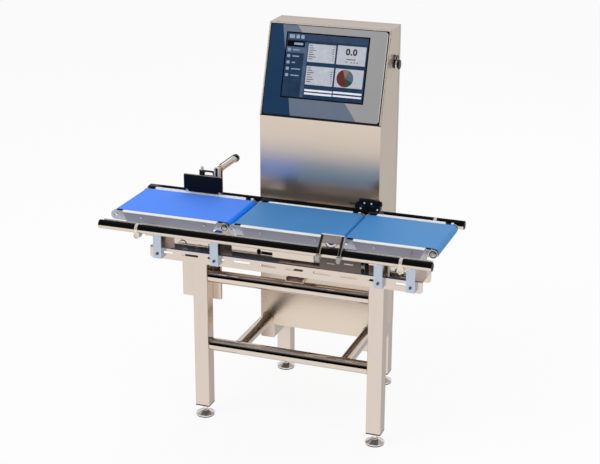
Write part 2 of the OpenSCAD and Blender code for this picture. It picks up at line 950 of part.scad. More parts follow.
module ledge_inserts() {
    color(black) both_sides() for (i = [0 : 2]) {
        insert_block(conveyor_x0(i) + insert_left[0], conveyor_x0(i) + insert_left[1],
                     insert_d, ledge_z + insert_proud);
        insert_block(conveyor_x1(i) - insert_right[0], conveyor_x1(i) - insert_right[1],
                     insert_d, ledge_z + insert_proud);
    }
}

// Sheet under the belt's top run, folded down at both sides
module slider_beds() {
    top_z = belt_top_z - belt_t - seat_gap;
    color(polished) for (i = [0 : 2])
        extrude_x(drive_x(i) + belt_inner_r + bed_end_gap,
                  idler_x(i) - drive_x(i) - 2 * belt_inner_r - 2 * bed_end_gap)
            translate([belt_y, top_z - bed_flange]) difference() {
                translate([-half_in, 0]) square([2 * half_in, bed_flange]);
                translate([-half_in + bed_t, -over])
                    square([2 * half_in - 2 * bed_t, bed_flange - bed_t + over]);
                for (s = [-1, 1])
                    translate([s * half_in - bed_t, bed_flange - ledge_drop + belt_t + seat_gap])
                        square([2 * bed_t, ledge_drop]);
            }
}

module conveyor_belt(i) {
    extrude_y(belt_y - belt_width / 2, belt_width) translate([0, axis_z]) difference() {
        stadium(drive_x(i), idler_x(i), nose_r);
        stadium(drive_x(i), idler_x(i), belt_inner_r);
    }
}

module conveyor_belts() {
    color(bright_blue) conveyor_belt(0);
    color(belt_blue) {
        conveyor_belt(1);
        conveyor_belt(2);
    }
}

// Roller body with its turned journals
module roller(x, front_out, back_out) {
    half = half_in - roller_play;
    rod_y(x, belt_y - half, axis_z, roller_r, 2 * half);
    rod_y(x, belt_y - half_in - front_out, axis_z, shaft_r, 2 * half_in + front_out + back_out);
}

// The drive shaft runs on into the drive cover, where it carries a toothed pulley
module drive_roller(i) {
    color("silver") {
        roller(drive_x(i), bearing_w - over, pulley_y + pulley_w - belt_y - half_in);
        rod_y(drive_x(i), pulley_y, axis_z, pulley_r, pulley_w);
    }
}

module idler_roller(i) {
    color("silver") roller(idler_x(i), bracket_t, bracket_t);
}

module reject_drive_roller() { drive_roller(0); }

module reject_idler_roller() { idler_roller(0); }

module weigh_drive_roller() { drive_roller(1); }

module weigh_idler_roller() { idler_roller(1); }

module infeed_drive_roller() { drive_roller(2); }

module infeed_idler_roller() { idler_roller(2); }

module bearing(x, y) {
    difference() {
        rod_y(x, y, axis_z, bearing_r, bearing_w);
        rod_y(x, y - over, axis_z, bearing_bore_r, bearing_w + 2 * over);
    }
}

module roller_bearings() {
    color("silver") both_sides() for (i = [0 : 2]) {
        bearing(drive_x(i), belt_y - half_in - bearing_w);
        bearing(idler_x(i), belt_y - half_in - bracket_t);
    }
}

// Outline of the belt drive, drawn in by w
module drive_outline(i, w) {
    x0 = conveyor_x0(i);
    right = x0 + nose_r + motor_shift + motor_r + over;
    polygon([
        [x0 + tip_over + w, axis_z - nose_r + w], [x0 + tip_over + w, belt_top_z - w / 2],
        [x0 + 2 * tip_over + w / 2, cover_top_z - w],
        [x0 + slant_bottom - 2 * tip_over - w / 2, cover_top_z - w],
        [x0 + slant_bottom - w, belt_top_z - w], [right - w, motor_z + motor_r - w],
        [right - w, motor_z - motor_r + w], [right - 2 * motor_r + w, motor_z - motor_r + w],
    ]);
}

// Motors with the plates that hold them on the rear side profiles, shafts and pulleys
module drive_motors() {
    side_y = belt_y + half_out;
    color("dimgray") for (i = [0 : 2]) {
        x = drive_x(i) + motor_shift;
        rod_y(x, side_y - motor_length, motor_z, motor_r, motor_length + over);
        difference() {
            extrude_y(side_y, drive_plate_t) drive_outline(i, 0);
            rod_y(drive_x(i), side_y - over, axis_z, shaft_hole_r, drive_plate_t + 2 * over);
        }
        rod_y(x, side_y, motor_z, shaft_r, pulley_y + pulley_w - side_y);
        rod_y(x, pulley_y, motor_z, pulley_r, pulley_w);
    }
}

module timing_belts() {
    fall = axis_z - motor_z;
    inner_r = pulley_r + seat_gap;
    span = sqrt(motor_shift * motor_shift + fall * fall);
    color(black) for (i = [0 : 2]) extrude_y(pulley_y + timing_play, pulley_w - 2 * timing_play)
        translate([drive_x(i), axis_z]) rotate(-atan2(fall, motor_shift)) difference() {
            stadium(0, span, inner_r + timing_t);
            stadium(0, span, inner_r);
        }
}

// Covers over the belt drives at the rear of each conveyor's left end
module drive_covers() {
    y0 = belt_y + half_out + drive_plate_t;
    l = cover_depth - drive_plate_t;
    color(black) for (i = [0 : 2]) difference() {
        extrude_y(y0, l) drive_outline(i, 0);
        extrude_y(y0 - over, l - cover_wall + over) drive_outline(i, cover_wall);
    }
}

// Socket-head screw whose head stands on the plane y, facing -Y
module socket_screw(x, y, z, r, h) {
    difference() {
        rod_y(x, y - h, z, r, h);
        translate([x, y - h - over, z]) rotate([-90, 0, 0])
            cylinder(r = socket_r, h = socket_depth + over, $fn = 6);
    }
}

module frame_screws() {
    y_side = belt_y - half_out;
    y_bracket = belt_y - half_in - bracket_t;
    z_mid = ledge_z - tip_r;
    color("silver") {
        both_sides() {
            for (x = support_xs)
                socket_screw(x, channel_front_y - plate_stand, channel_top_z - slot_drop,
                             screw_r + over, screw_h + over);
            for (i = [0 : 2]) {
                socket_screw(conveyor_x0(i) + 2 * slant_bottom, y_side, z_mid, screw_r, screw_h);
                socket_screw(conveyor_x1(i) - 2 * tail_top, y_side, z_mid, screw_r, screw_h);
                socket_screw(conveyor_x1(i) - tail_top + tip_over, y_bracket, z_mid + screw_r,
                             screw_r, screw_h);
            }
        }
        for (i = [0 : 2])
            socket_screw(conveyor_x0(i) + tip_over, y_bracket, z_mid - screw_r, screw_r, screw_h);
    }
}

// Quarter of the rail's section on the outer, lower side
module rail_quarter() {
    translate([-rail_r - over, -rail_r - over]) square(rail_r + over);
    square(rail_key, center = true);
}

module rail_carrier(l, x1) {
    extrude_x(x1 - l, l) translate([belt_y - rail_offset, rail_z]) intersection() {
        circle(rail_r);
        rail_quarter();
    }
}

module rail_strip(l, x1) {
    extrude_x(x1 - l, l) translate([belt_y - rail_offset, rail_z]) difference() {
        circle(rail_r);
        rail_quarter();
    }
}

module mirror_back() {
    translate([0, 2 * belt_y, 0]) mirror([0, 1, 0]) children();
}

module to_rear_rail() {
    translate([0, 2 * rail_offset, 0]) children();
}

module front_rail_carrier() {
    color(steel) rail_carrier(rail_length, rail_length / 2);
}

module rear_rail_carrier() {
    color(steel) to_rear_rail() rail_carrier(rear_rail_length, rail_length / 2);
}

module front_rail_strip() {
    color(black) rail_strip(rail_length, rail_length / 2);
}

module rear_rail_strip() {
    color(black) to_rear_rail() rail_strip(rear_rail_length, rail_length / 2);
}

// Strap round the rail, fused to the round boss that slides on the rod
module rail_clip(x) {
    y = belt_y - rail_offset;
    difference() {
        union() {
            rod_x(x - strap_w / 2, y, rail_z, rail_r + strap_t, strap_w);
            extrude_y(y - clip_length / 2, clip_length) translate([x, rod_z]) rotate(90)
                stadium(0, clip_lift, clip_r);
        }
        rod_x(x - clip_r - over, y, rail_z, rail_r, 2 * clip_r + 2 * over);
        rod_y(x, y - clip_length, rod_z, rod_r + fit, 2 * clip_length);
    }
}

module front_rail_clips() {
    color(steel) for (i = rod_supports) rail_clip(rod_x_of(i));
}

module rear_rail_clips() {
    color(steel) mirror_back() for (i = rod_supports) rail_clip(rod_x_of(i));
}

module cross_rods() {
    y = belt_y - rail_offset - clip_length / 2 + rod_inset;
    color(polished) for (i = rod_supports) rod_y(rod_x_of(i), y, rod_z, rod_r, 2 * (belt_y - y));
}

reflector_y = belt_y - rail_offset - reflector_gap;

module on_reflector() {
    translate([reflector_x, reflector_y, rail_z]) rotate([-reflector_lean, 0, 0]) children();
}

// Leaning bridge plate with a curved slot
module reflector_bracket() {
    color(polished) on_reflector()
        extrude_y(-reflector_t, reflector_t) translate([0, reflector_h / 2]) difference() {
            round_rect(reflector_w, reflector_h, reflector_corner);
            translate([0, -reflector_bar_h])
                square([reflector_w - 2 * reflector_leg, reflector_h], center = true);
            translate([0, reflector_slot_r]) difference() {
                circle(reflector_slot_r + reflector_slot_w);
                circle(reflector_slot_r);
                translate([-2 * reflector_slot_r, -reflector_slot_r / 2])
                    square([4 * reflector_slot_r, 2 * reflector_slot_r]);
            }
        }
}

// Prism behind the bridge plate, facing the sensor, and the two grey feet that sit on
// the guard rail and carry the bracket's legs
module reflector() {
    y = belt_y - rail_offset;
    color("#c8ccd0") on_reflector()
        extrude_y(0, lens_t) translate([0, reflector_h - lens_h / 2])
            round_rect(lens_w, lens_h, reflector_slot_w / 2);
    color("gray") for (s = [-1, 1]) difference() {
        translate([reflector_x + s * (reflector_w - reflector_leg) / 2, 0, 0])
            extrude_y(y - foot_block_reach, foot_block_reach - rail_r / 2) polygon([
                [-foot_block_tip / 2, rail_z - foot_block_h], [foot_block_tip / 2, rail_z - foot_block_h],
                [foot_block_w / 2, rail_z - foot_block_h / 2], [foot_block_w / 2, rail_z],
                [-foot_block_w / 2, rail_z], [-foot_block_w / 2, rail_z - foot_block_h / 2],
            ]);
        rod_x(reflector_x - reflector_w, y, rail_z, rail_r, 2 * reflector_w);
    }
}

// Angle on the infeed conveyor's drive cover that carries the sensor
module sensor_bracket() {
    x0 = conveyor_x0(2) + 2 * tip_over + over;
    x1 = conveyor_x0(2) + slant_bottom - 2 * tip_over - over;
    y1 = sensor_y + sensor_d;
    sensor_z = belt_top_z + sensor_lift;
    color(polished) {
        box([x0, sensor_y, cover_top_z], [x1, y1 + sensor_plate_t, sensor_z]);
        box([x0, y1, cover_top_z], [x1, y1 + sensor_plate_t, sensor_z + sensor_h / 2]);
    }
}

module photo_sensor() {
    x0 = sensor_x - sensor_w / 2;
    z0 = belt_top_z + sensor_lift;
    eye_x = conveyor_x1(1) + nose_gap / 2;
    color(black) {
        extrude_y(sensor_y, sensor_d) polygon([
            [x0, z0], [x0 + sensor_w, z0], [x0 + sensor_w, z0 + sensor_h - sensor_chamfer / 2],
            [x0 + sensor_w - sensor_chamfer / 2, z0 + sensor_h], [x0 + sensor_chamfer, z0 + sensor_h],
            [x0, z0 + sensor_h - sensor_chamfer],
        ]);
        rod_x(x0 - sensor_stub, sensor_y + sensor_d / 2, z0 + sensor_h / 2, sensor_stub_r, sensor_stub + over);
        rod_y(eye_x, sensor_y - sensor_chamfer, z0 + sensor_eye_r + over, sensor_eye_r,
              sensor_chamfer + over);
    }
}

cylinder_z = belt_top_z + cylinder_rise;
pad_bottom_z = belt_top_z + pad_lift;
pad_top_z = pad_bottom_z + pad_h;
backing_y = pad_front_y + pad_t_y;
yoke_y = backing_y + backing_t + yoke_gap;
plate_y = nose_start + nut_t;

// Foot on the conveyor's rear side with the upright that holds the cylinder's neck
module pusher_support() {
    side_y = belt_y + half_out;
    foot_z = belt_top_z - support_foot_z;
    shoulder_z = belt_top_z + support_shoulder;
    color(polished) difference() {
        union() {
            box([cylinder_x - support_w / 2, side_y, foot_z],
                [cylinder_x + support_w / 2, plate_y + over, foot_z + support_foot_h]);
            box([cylinder_x - support_w / 2, plate_y, foot_z],
                [cylinder_x + support_w / 2, plate_y + support_t, shoulder_z]);
            box([cylinder_x - support_neck_w / 2, plate_y, foot_z],
                [cylinder_x + support_neck_w / 2, plate_y + support_t, cylinder_z]);
            rod_y(cylinder_x, plate_y, cylinder_z, support_neck_w / 2, support_t);
        }
        rod_y(cylinder_x, plate_y - over, cylinder_z, neck_r, support_t + 2 * over);
    }
}

// Round pneumatic cylinder with neck, nut, head, tube and rear cap
module pusher_cylinder() {
    head_y = plate_y + support_t;
    tube_y = head_y + head_w;
    cap_y = tube_y + tube_length;
    color(steel) difference() {
        union() {
            rod_y(cylinder_x, nose_start, cylinder_z, neck_r, head_y - nose_start + over);
            translate([cylinder_x, nose_start, cylinder_z]) rotate([-90, 0, 0])
                cylinder(r = nut_r, h = nut_t, $fn = 6);
            rod_y(cylinder_x, head_y, cylinder_z, head_r, head_w);
            rod_y(cylinder_x, tube_y - over, cylinder_z, cylinder_d / 2, tube_length + 2 * over);
            rod_y(cylinder_x, cap_y, cylinder_z, rear_cap_r, rear_cap_w);
        }
        rod_y(cylinder_x, nose_start - over, cylinder_z, rod_end_r + fit, cap_y - nose_start);
        rod_y(cylinder_x, tube_y, cylinder_z, cylinder_d / 2 - bore_wall, tube_length);
        rod_y(cylinder_x, cap_y + rear_cap_w - port_depth, cylinder_z, port_r, port_depth + over);
    }
}

module pusher_rod() {
    piston_y = plate_y + support_t + head_w + tube_length - piston_w - over;
    color("silver") {
        rod_y(cylinder_x, pusher_rod_start, cylinder_z, rod_end_r, piston_y - pusher_rod_start + over);
        rod_y(cylinder_x, piston_y, cylinder_z, cylinder_d / 2 - bore_wall - fit, piston_w);
    }
}

// Backing plate, arched upright and the fork that takes the rod's end
module pusher_yoke() {
    yoke_top_z = pad_top_z + yoke_rise;
    mid_x = yoke_left + yoke_w / 2;
    fork_y = backing_y + backing_t;
    color(polished) difference() {
        union() {
            box([pad_x - pad_w / 2, backing_y, pad_bottom_z - backing_lip],
                [pad_x + pad_w / 2, backing_y + backing_t, pad_top_z]);
            box([yoke_left, yoke_y, pad_top_z - fork_drop], [yoke_left + yoke_w, yoke_y + yoke_t, yoke_top_z]);
            box([yoke_left, fork_y - over, pad_top_z - fork_drop],
                [yoke_left + yoke_w, yoke_y + over, pad_top_z - fork_drop + yoke_t]);
            box([cylinder_x - fork_w / 2, fork_y - over, pad_top_z - fork_drop],
                [cylinder_x + fork_w / 2, fork_y + fork_depth, cylinder_z + fork_rise]);
            translate([yoke_left + 2 * yoke_knob_r, yoke_y + yoke_t / 2, yoke_top_z - over])
                cylinder(r = yoke_knob_r, h = yoke_knob_h + over);
        }
        extrude_y(yoke_y - over, yoke_t + 2 * over) translate([mid_x + yoke_gap, pad_top_z]) {
            intersection() {
                circle(yoke_arch_r);
                translate([-yoke_arch_r, 0]) square([2 * yoke_arch_r, yoke_arch_rise]);
            }
        }
        box([cylinder_x - fork_slot / 2, fork_y - 2 * over, pad_top_z],
            [cylinder_x + fork_slot / 2, pusher_rod_start, cylinder_z + fork_rise + over]);
        rod_y(cylinder_x, pusher_rod_start, cylinder_z, rod_end_r, fork_depth + 2 * over);
    }
}

// Black plastic pad with a notch over each fixing screw
module pusher_pad() {
    color(black) difference() {
        box([pad_x - pad_w / 2, pad_front_y, pad_bottom_z], [pad_x + pad_w / 2, backing_y, pad_top_z]);
        for (s = [-1, 1])
            rod_y(pad_x + s * (pad_w / 2 - yoke_arch_rise), pad_front_y - over, pad_bottom_z,
                  2 * rod_end_r, pad_t_y + 2 * over);
    }
}

// Places a shape on the slanted operator panel: X right, Z up the slope, -Y out of it
module on_panel() {
    translate([column_left_x, column_front_y, panel_base_z]) rotate([-panel_tilt, 0, 0]) children();
}

module panel_shape(x0, z0, w, h, y0, y1) {
    translate([x0, y0, z0]) cube([w, y1 - y0, h]);
}

module column_shell() {
    top_front_y = column_front_y + panel_run;
    half_tilt = tan(panel_tilt / 2);
    color(steel) difference() {
        extrude_x(column_left_x, column_w) polygon([
            [column_front_y, column_bottom_z], [column_front_y, panel_base_z],
            [top_front_y, column_top_z], [shell_back_y, column_top_z], [shell_back_y, column_bottom_z],
        ]);
        extrude_x(column_left_x + sheet, column_w - 2 * sheet) polygon([
            [column_front_y + sheet, column_bottom_z + sheet],
            [column_front_y + sheet, panel_base_z - sheet * half_tilt],
            [top_front_y + sheet * (1 - sin(panel_tilt)) / cos(panel_tilt), column_top_z - sheet],
            [shell_back_y - sheet, column_top_z - sheet], [shell_back_y - sheet, column_bottom_z + sheet],
        ]);
        box([column_left_x + flange_w, shell_back_y - 2 * sheet, column_bottom_z + flange_w],
            [column_right_x - flange_w, shell_back_y + over, column_top_z - flange_w]);
        on_panel() panel_shape(screen_left + cutout_margin, screen_bottom + cutout_margin,
                               screen_w - 2 * cutout_margin, screen_h - 2 * cutout_margin,
                               -over, sheet + over);
        rod_y(tray_x, column_front_y - over, upper_bar_z + bar_r + tray_t + cable_hole_r, cable_hole_r,
              sheet + 2 * over);
        rod_x(column_right_x - sheet - over, button_y, button_z, button_shank_r, sheet + 2 * over);
    }
}

hinge_x = column_left_x - hinge_out;
hinge_y = door_front_y - hinge_in;
lock_x = column_right_x - lock_inset;

module rear_door() {
    knuckle = hinge_share * hinge_h;
    color(steel) difference() {
        union() {
            difference() {
                box([column_left_x, door_front_y, column_bottom_z],
                    [column_right_x, column_back_y, column_top_z]);
                box([column_left_x + door_t, door_front_y - over, column_bottom_z + door_t],
                    [column_right_x - door_t, column_back_y - door_t, column_top_z - door_t]);
            }
            for (z = hinge_zs) {
                translate([hinge_x, hinge_y, z - knuckle / 2]) cylinder(r = hinge_r, h = knuckle);
                box([hinge_x, hinge_y + hinge_pin_r, z - knuckle / 2],
                    [column_left_x, hinge_y + hinge_r, z + knuckle / 2]);
                box([column_left_x - leaf_t, hinge_y + hinge_pin_r, z - knuckle / 2],
                    [column_left_x, column_back_y - leaf_t, z + knuckle / 2]);
            }
        }
        for (z = hinge_zs)
            translate([hinge_x, hinge_y, z - hinge_h]) cylinder(r = hinge_pin_r + fit, h = 2 * hinge_h);
        rod_y(lock_x, column_back_y - 2 * door_t, lock_z, lock_shaft_r + fit, 3 * door_t);
    }
}

// Seal behind the rear door and gasket under the operator panel
module column_seals() {
    a = seal_inset;
    b = seal_inset + seal_w;
    color(black) {
        difference() {
            box([column_left_x + a, shell_back_y, column_bottom_z + a],
                [column_right_x - a, door_front_y - seat_gap, column_top_z - a]);
            box([column_left_x + b, shell_back_y - over, column_bottom_z + b],
                [column_right_x - b, door_front_y + over, column_top_z - b]);
        }
        on_panel() difference() {
            panel_shape(0, 0, column_w, panel_h, -gasket_t, 0);
            panel_shape(screen_left - screen_play, screen_bottom - screen_play,
                        screen_w + 2 * screen_play, screen_h + 2 * screen_play, -gasket_t - over, over);
        }
    }
}

// Fixed hinge leaves with their knuckles and pins
module door_hinges() {
    knuckle = (1 - hinge_share) * hinge_h / 2 - seat_gap;
    color("silver") for (z = hinge_zs) {
        translate([hinge_x, hinge_y, z - hinge_h / 2]) cylinder(r = hinge_pin_r, h = hinge_h);
        for (s = [-1, 1]) {
            z0 = z + s * (hinge_h - knuckle) / 2 - knuckle / 2;
            translate([hinge_x, hinge_y, z0]) cylinder(r = hinge_r, h = knuckle);
            box([hinge_x, hinge_y - hinge_r, z0], [column_left_x, hinge_y - hinge_pin_r, z0 + knuckle]);
        }
        box([column_left_x - leaf_t, hinge_y - hinge_pin_r - leaf_w, z - hinge_h / 2],
            [column_left_x, hinge_y - hinge_pin_r - leaf_gap, z + hinge_h / 2]);
    }
}

// Quarter-turn lock: wing, rose, shaft and the cam, which stands upright when unlocked
module door_lock() {
    cam_y = shell_back_y - sheet - cam_depth;
    color("silver") {
        rod_y(lock_x, column_back_y + seat_gap, lock_z, lock_plate_r, lock_plate_t);
        translate([lock_x, column_back_y + seat_gap + lock_plate_t + lock_wing[1] / 2, lock_z])
            cube(lock_wing, center = true);
        rod_y(lock_x, cam_y, lock_z, lock_shaft_r, column_back_y + over - cam_y);
        translate([lock_x - cam_w / 2, cam_y, lock_z]) cube([cam_w, cam_t, cam_reach]);
    }
}

module panel_overlay() {
    w = column_w - 2 * overlay_margin[0];
    h = panel_h - overlay_margin[1] - gasket_edge;
    color("#6d7888") on_panel() difference() {
        extrude_y(-gasket_t - overlay_t, overlay_t)
            translate([overlay_margin[0] + w / 2, overlay_margin[1] + h / 2])
                round_rect(w, h, overlay_corner);
        panel_shape(screen_left - screen_play, screen_bottom - screen_play,
                    screen_w + 2 * screen_play, screen_h + 2 * screen_play,
                    -gasket_t - overlay_t - over, over);
    }
}

// Touch screen with its housing behind the cut-out
module touch_screen() {
    m = cutout_margin + display_play;
    color("#1b2f4b") on_panel() {
        panel_shape(screen_left, screen_bottom, screen_w, screen_h, -screen_t, 0);
        panel_shape(screen_left + m, screen_bottom + m, screen_w - 2 * m, screen_h - 2 * m,
                    -over, display_depth);
    }
}

// Mounting plate inside the column with its electrical modules
module control_plate() {
    x0 = column_x - control_size[0] / 2;
    y0 = column_front_y + sheet + standoff;
    y1 = y0 + control_size[1];
    unit = control_size[0] / 14;
    rise = control_size[2] / 24;
    color("gainsboro") {
        translate([x0, y0, control_z]) cube(control_size);
        for (x = [x0 + standoff_inset, x0 + control_size[0] - standoff_inset],
             z = [control_z + standoff_inset, control_z + control_size[2] - standoff_inset])
            rod_y(x, y0 - standoff, z, standoff_r, standoff + over);
        box([x0 + unit, y1, control_z + 18 * rise], [x0 + 6 * unit, y1 + 3 * unit, control_z + 22 * rise]);
        box([x0 + 7 * unit, y1, control_z + 18 * rise], [x0 + 10 * unit, y1 + 3 * unit, control_z + 22 * rise]);
        for (i = [0 : 2])
            box([x0 + (1 + 3 * i) * unit, y1, control_z + 11 * rise],
                [x0 + (3 + 3 * i) * unit, y1 + 3 * unit, control_z + 15 * rise]);
        box([x0 + unit, y1, control_z + 4 * rise], [x0 + 13 * unit, y1 + 1.5 * unit, control_z + 6 * rise]);
    }
}

// Collar screwed into the column's side, with two round lugs for a padlock
module button_collar() {
    lug_neck_z = button_z + lug_rise - lug_hole_r - over;
    color("silver") difference() {
        union() {
            for (x = lug_xs) {
                rod_x(column_right_x + x, button_y, button_z + lug_rise, lug_r, lug_t);
                box([column_right_x + x, button_y - lug_hole_r, button_z],
                    [column_right_x + x + lug_t, button_y + lug_hole_r, lug_neck_z]);
            }
            rod_x(column_right_x, button_y, button_z, button_base_r, button_base_t);
            rod_x(column_right_x + button_base_t, button_y, button_z, button_ring_r, button_ring_t);
            rod_x(column_right_x - button_shank, button_y, button_z, button_shank_r, button_shank + over);
        }
        rod_x(column_right_x - button_shank + 2 * over, button_y, button_z, button_stem_r + fit,
              button_shank + button_base_t + button_ring_t);
        rod_x(column_right_x - over, button_y, button_z + lug_rise, lug_hole_r,
              button_base_t + button_ring_t + 2 * over);
    }
}

// Mushroom head with its stem in the collar
module button_head() {
    x0 = column_right_x + button_base_t + button_ring_t;
    color(black) translate([x0, button_y, button_z]) rotate([0, 90, 0]) rotate_extrude() polygon([
        [0, -button_shank / 2], [button_stem_r, -button_shank / 2],
        [button_stem_r, button_travel + over], [button_head_r - button_rim, button_travel + over],
        [button_head_r, button_travel + button_rim], [button_head_r, button_travel + 2 * button_rim],
        [button_head_r - button_rim, button_travel + button_head_t - button_rim / 2],
        [button_head_r / 2, button_travel + button_head_t], [0, button_travel + button_head_t],
    ]);
}

stand_tubes();
stand_bars();
leg_caps();
foot_front_left();
foot_front_right();
foot_rear_left();
foot_rear_right();
foot_pads();
channel_beam();
cable_tray();
valve_plate();
air_valve();
support_plates();
support_saddles();
base_trays();
side_plates();
end_brackets();
slider_beds();
conveyor_belts();
reject_drive_roller();
reject_idler_roller();
weigh_drive_roller();
weigh_idler_roller();
infeed_drive_roller();
infeed_idler_roller();
roller_bearings();
drive_motors();
timing_belts();
drive_covers();
ledge_inserts();
frame_screws();
load_cell();
weigh_housing();
weigh_carrier();
front_rail_carrier();
front_rail_strip();
front_rail_clips();
rear_rail_carrier();
rear_rail_strip();
rear_rail_clips();
cross_rods();
reflector_bracket();
reflector();
sensor_bracket();
photo_sensor();
pusher_support();
pusher_cylinder();
pusher_rod();
pusher_yoke();
pusher_pad();
column_shell();
rear_door();
column_seals();
door_hinges();
door_lock();
panel_overlay();
touch_screen();
control_plate();
button_collar();
button_head();
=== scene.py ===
"""Checkweigher with a slanted operator panel and a pusher reject: finishes, small pieces and stage."""
import math

import bmesh
import bpy
from bpy.props import FloatProperty, FloatVectorProperty, IntProperty, PointerProperty
from mathutils import Matrix, Vector


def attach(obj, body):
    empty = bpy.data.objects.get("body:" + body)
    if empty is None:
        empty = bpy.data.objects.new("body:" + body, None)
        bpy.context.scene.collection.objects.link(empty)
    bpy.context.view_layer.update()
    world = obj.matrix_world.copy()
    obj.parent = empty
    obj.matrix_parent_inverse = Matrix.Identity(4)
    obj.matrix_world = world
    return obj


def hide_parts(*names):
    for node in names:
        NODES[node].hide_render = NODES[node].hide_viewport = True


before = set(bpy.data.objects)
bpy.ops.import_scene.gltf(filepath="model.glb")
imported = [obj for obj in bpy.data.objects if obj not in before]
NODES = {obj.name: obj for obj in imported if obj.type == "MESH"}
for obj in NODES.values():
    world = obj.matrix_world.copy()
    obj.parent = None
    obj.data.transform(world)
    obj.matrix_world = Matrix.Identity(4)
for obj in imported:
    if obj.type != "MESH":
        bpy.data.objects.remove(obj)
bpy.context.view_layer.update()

bl_info = {
    "name": "Checkweigher",
    "version": (1, 0, 0),
    "blender": (4, 5, 0),
    "location": "3D View > Sidebar > Checkweigher",
    "description": "Dresses the checkweigher's CAD model: metals, belts, operator panel and small fittings",
    "category": "Object",
}

# Places below are in mm, like the CAD model's
MM = 0.001
# Operator panel: its lower left corner on the column, and its slope from the vertical
PANEL_CORNER = Vector((-204.5, 152.0, 1187.0)) * MM
PANEL_TILT = math.atan2(117.0, 353.0)
# Belts' centre line, outer side of the front brackets, height of the rollers, their distance from a conveyor's
# end, and the ends of the conveyors
BELT_Y = -140.0
BRACKET_Y = -289.0
ROLLER_Z = 862.0
NOSE = 18.0
CONVEYORS = {"reject": (-645.5, -158.5), "weigh": (-155.5, 285.5), "infeed": (288.5, 652.5)}
# Guard rails' height, and the centre line and left end of each
RAIL_Z = 848.0
RAIL_RIGHT = 655.0
RAILS = {"front_rail": (-375.0, -655.0), "rear_rail": (95.0, -623.0)}
# Foot and lean of the reflector's bracket, front end of the pusher's cylinder, base of the push button
REFLECTOR_FOOT = Vector((275.5, -398.9, 848.0))
REFLECTOR_LEAN = math.radians(43)
REFLECTOR_UP = Vector((0, math.sin(REFLECTOR_LEAN), math.cos(REFLECTOR_LEAN)))
REFLECTOR_OUT = Vector((0, -math.cos(REFLECTOR_LEAN), math.sin(REFLECTOR_LEAN)))
CYLINDER = Vector((-333.5, 62.0, 979.0))
BUTTON = Vector((295.5, 322.0, 1396.5))
# How far the display's fields stand out of the column's sheet
DISPLAY_OUT = 3.8
# How far the camera stands to the right of straight ahead
CAMERA_YAW = 0.347672
# Directions
FRONT, RIGHT, UP = (0, -1, 0), (1, 0, 0), (0, 0, 1)


def linear(code):
    """Turns an sRGB hex value into the linear colour that a socket takes."""
    parts = [int(code[i:i + 2], 16) / 255 for i in (1, 3, 5)]
    return [c / 12.92 if c <= 0.04045 else ((c + 0.055) / 1.055) ** 2.4 for c in parts] + [1.0]


def on_panel(s, t, out):
    """Point s mm across and t mm up the slanted panel, out mm in front of the column's sheet."""
    a = PANEL_TILT
    return PANEL_CORNER + Vector((s, t * math.sin(a) - out * math.cos(a), t * math.cos(a) + out * math.sin(a))) * MM


# ---------------------------------------------------------------- sizes and colours

def colour(name, description, code):
    return FloatVectorProperty(name=name, description=description, default=linear(code)[:3], subtype="COLOR",
                               size=3, min=0.0, max=1.0)


def length(name, description, millimetres, low=0.0):
    return FloatProperty(name=name, description=description, default=millimetres * MM, min=low,
                         subtype="DISTANCE", unit="LENGTH")


class CheckweigherColours(bpy.types.PropertyGroup):
    stainless: colour("Stainless steel", "Reflection colour of the ground sheet, tubes and bars", "#DED0C4")
    sheet: colour("Column sheet", "Reflection colour of the column's ground sheet", "#E8D8C7")
    blasted: colour("Blasted steel", "Colour of the bead-blasted support plates", "#D2DEEE")
    profile: colour("Side profiles", "Anodised web of the conveyor's side profiles", "#8E8F9C")
    ledge: colour("Profile ledge", "White of the painted highlight on the side profiles' tops, and of bright rings and strips", "#FFFFFF")
    bracket: colour("End brackets", "Machined brackets that hold the rollers", "#B8BCC8")
    reject_belt: colour("Reject belt", "Cover of the reject conveyor's belt", "#5690FF")
    reject_nose_shade: colour("Reject belt's noses", "Painted shade where the reject belt bends round its noses", "#1A86FF")
    weigh_belt: colour("Weigh belts", "Cover of the weigh and infeed belts", "#4B8ECC")
    black: colour("Black plastic", "Strips, covers, caps and the sensor's housing", "#0E0E10")
    strip: colour("Rail strips", "Polyethylene strips of the guard rails", "#070708")
    pad: colour("Pusher pad", "Face plate of the pusher", "#0C1119")
    overlay_navy: colour("Panel navy", "Left part of the operator panel's film", "#0B375A")
    overlay_slate: colour("Panel slate", "Middle part of the operator panel's film", "#667284")
    overlay_grey: colour("Panel grey", "Right part of the operator panel's film", "#9C9B9A")
    screen: colour("Screen", "Ground of the display", "#22374F")
    tile: colour("Display tiles", "Light fields on the display", "#A8ACB5")


class CheckweigherSizes(bpy.types.PropertyGroup):
    grain: length("Brush grain", "Spacing of the grinding lines drawn on the sheet", 3.0, 0.0002)
    tile_rise: length("Display tile height", "How far a display field stands proud of the screen", 0.3)
    weld_leg: length("Weld leg", "Leg of the fillet welds on the stand", 4.0)
    screw_head: length("Small screw head", "Width of the pusher pad's screw heads", 9.0)
    rows: IntProperty(name="List rows", description="Rows in the display's two lists", default=7, min=1, max=12)


# ---------------------------------------------------------------- node trees

def feed(tree, node, inputs):
    """Sets a node's inputs, by name or number; each is a value or another node's output."""
    for key, value in inputs.items():
        if isinstance(value, bpy.types.NodeSocket):
            tree.links.new(value, node.inputs[key])
        else:
            node.inputs[key].default_value = value


def add(tree, kind, inputs=None, stops=(), **settings):
    """Adds a shader node with its settings and links; stops are a ramp's (position, hex or grey level)."""
    node = tree.nodes.new("ShaderNode" + kind)
    for key, value in settings.items():
        setattr(node, key, value)
    feed(tree, node, inputs or {})
    if stops:
        ends = node.color_ramp.elements
        while len(ends) < len(stops):
            ends.new(0.5)
        for end, (position, level) in zip(ends, stops):
            end.position = position
            end.color = linear(level) if isinstance(level, str) else (level, level, level, 1)
    return node


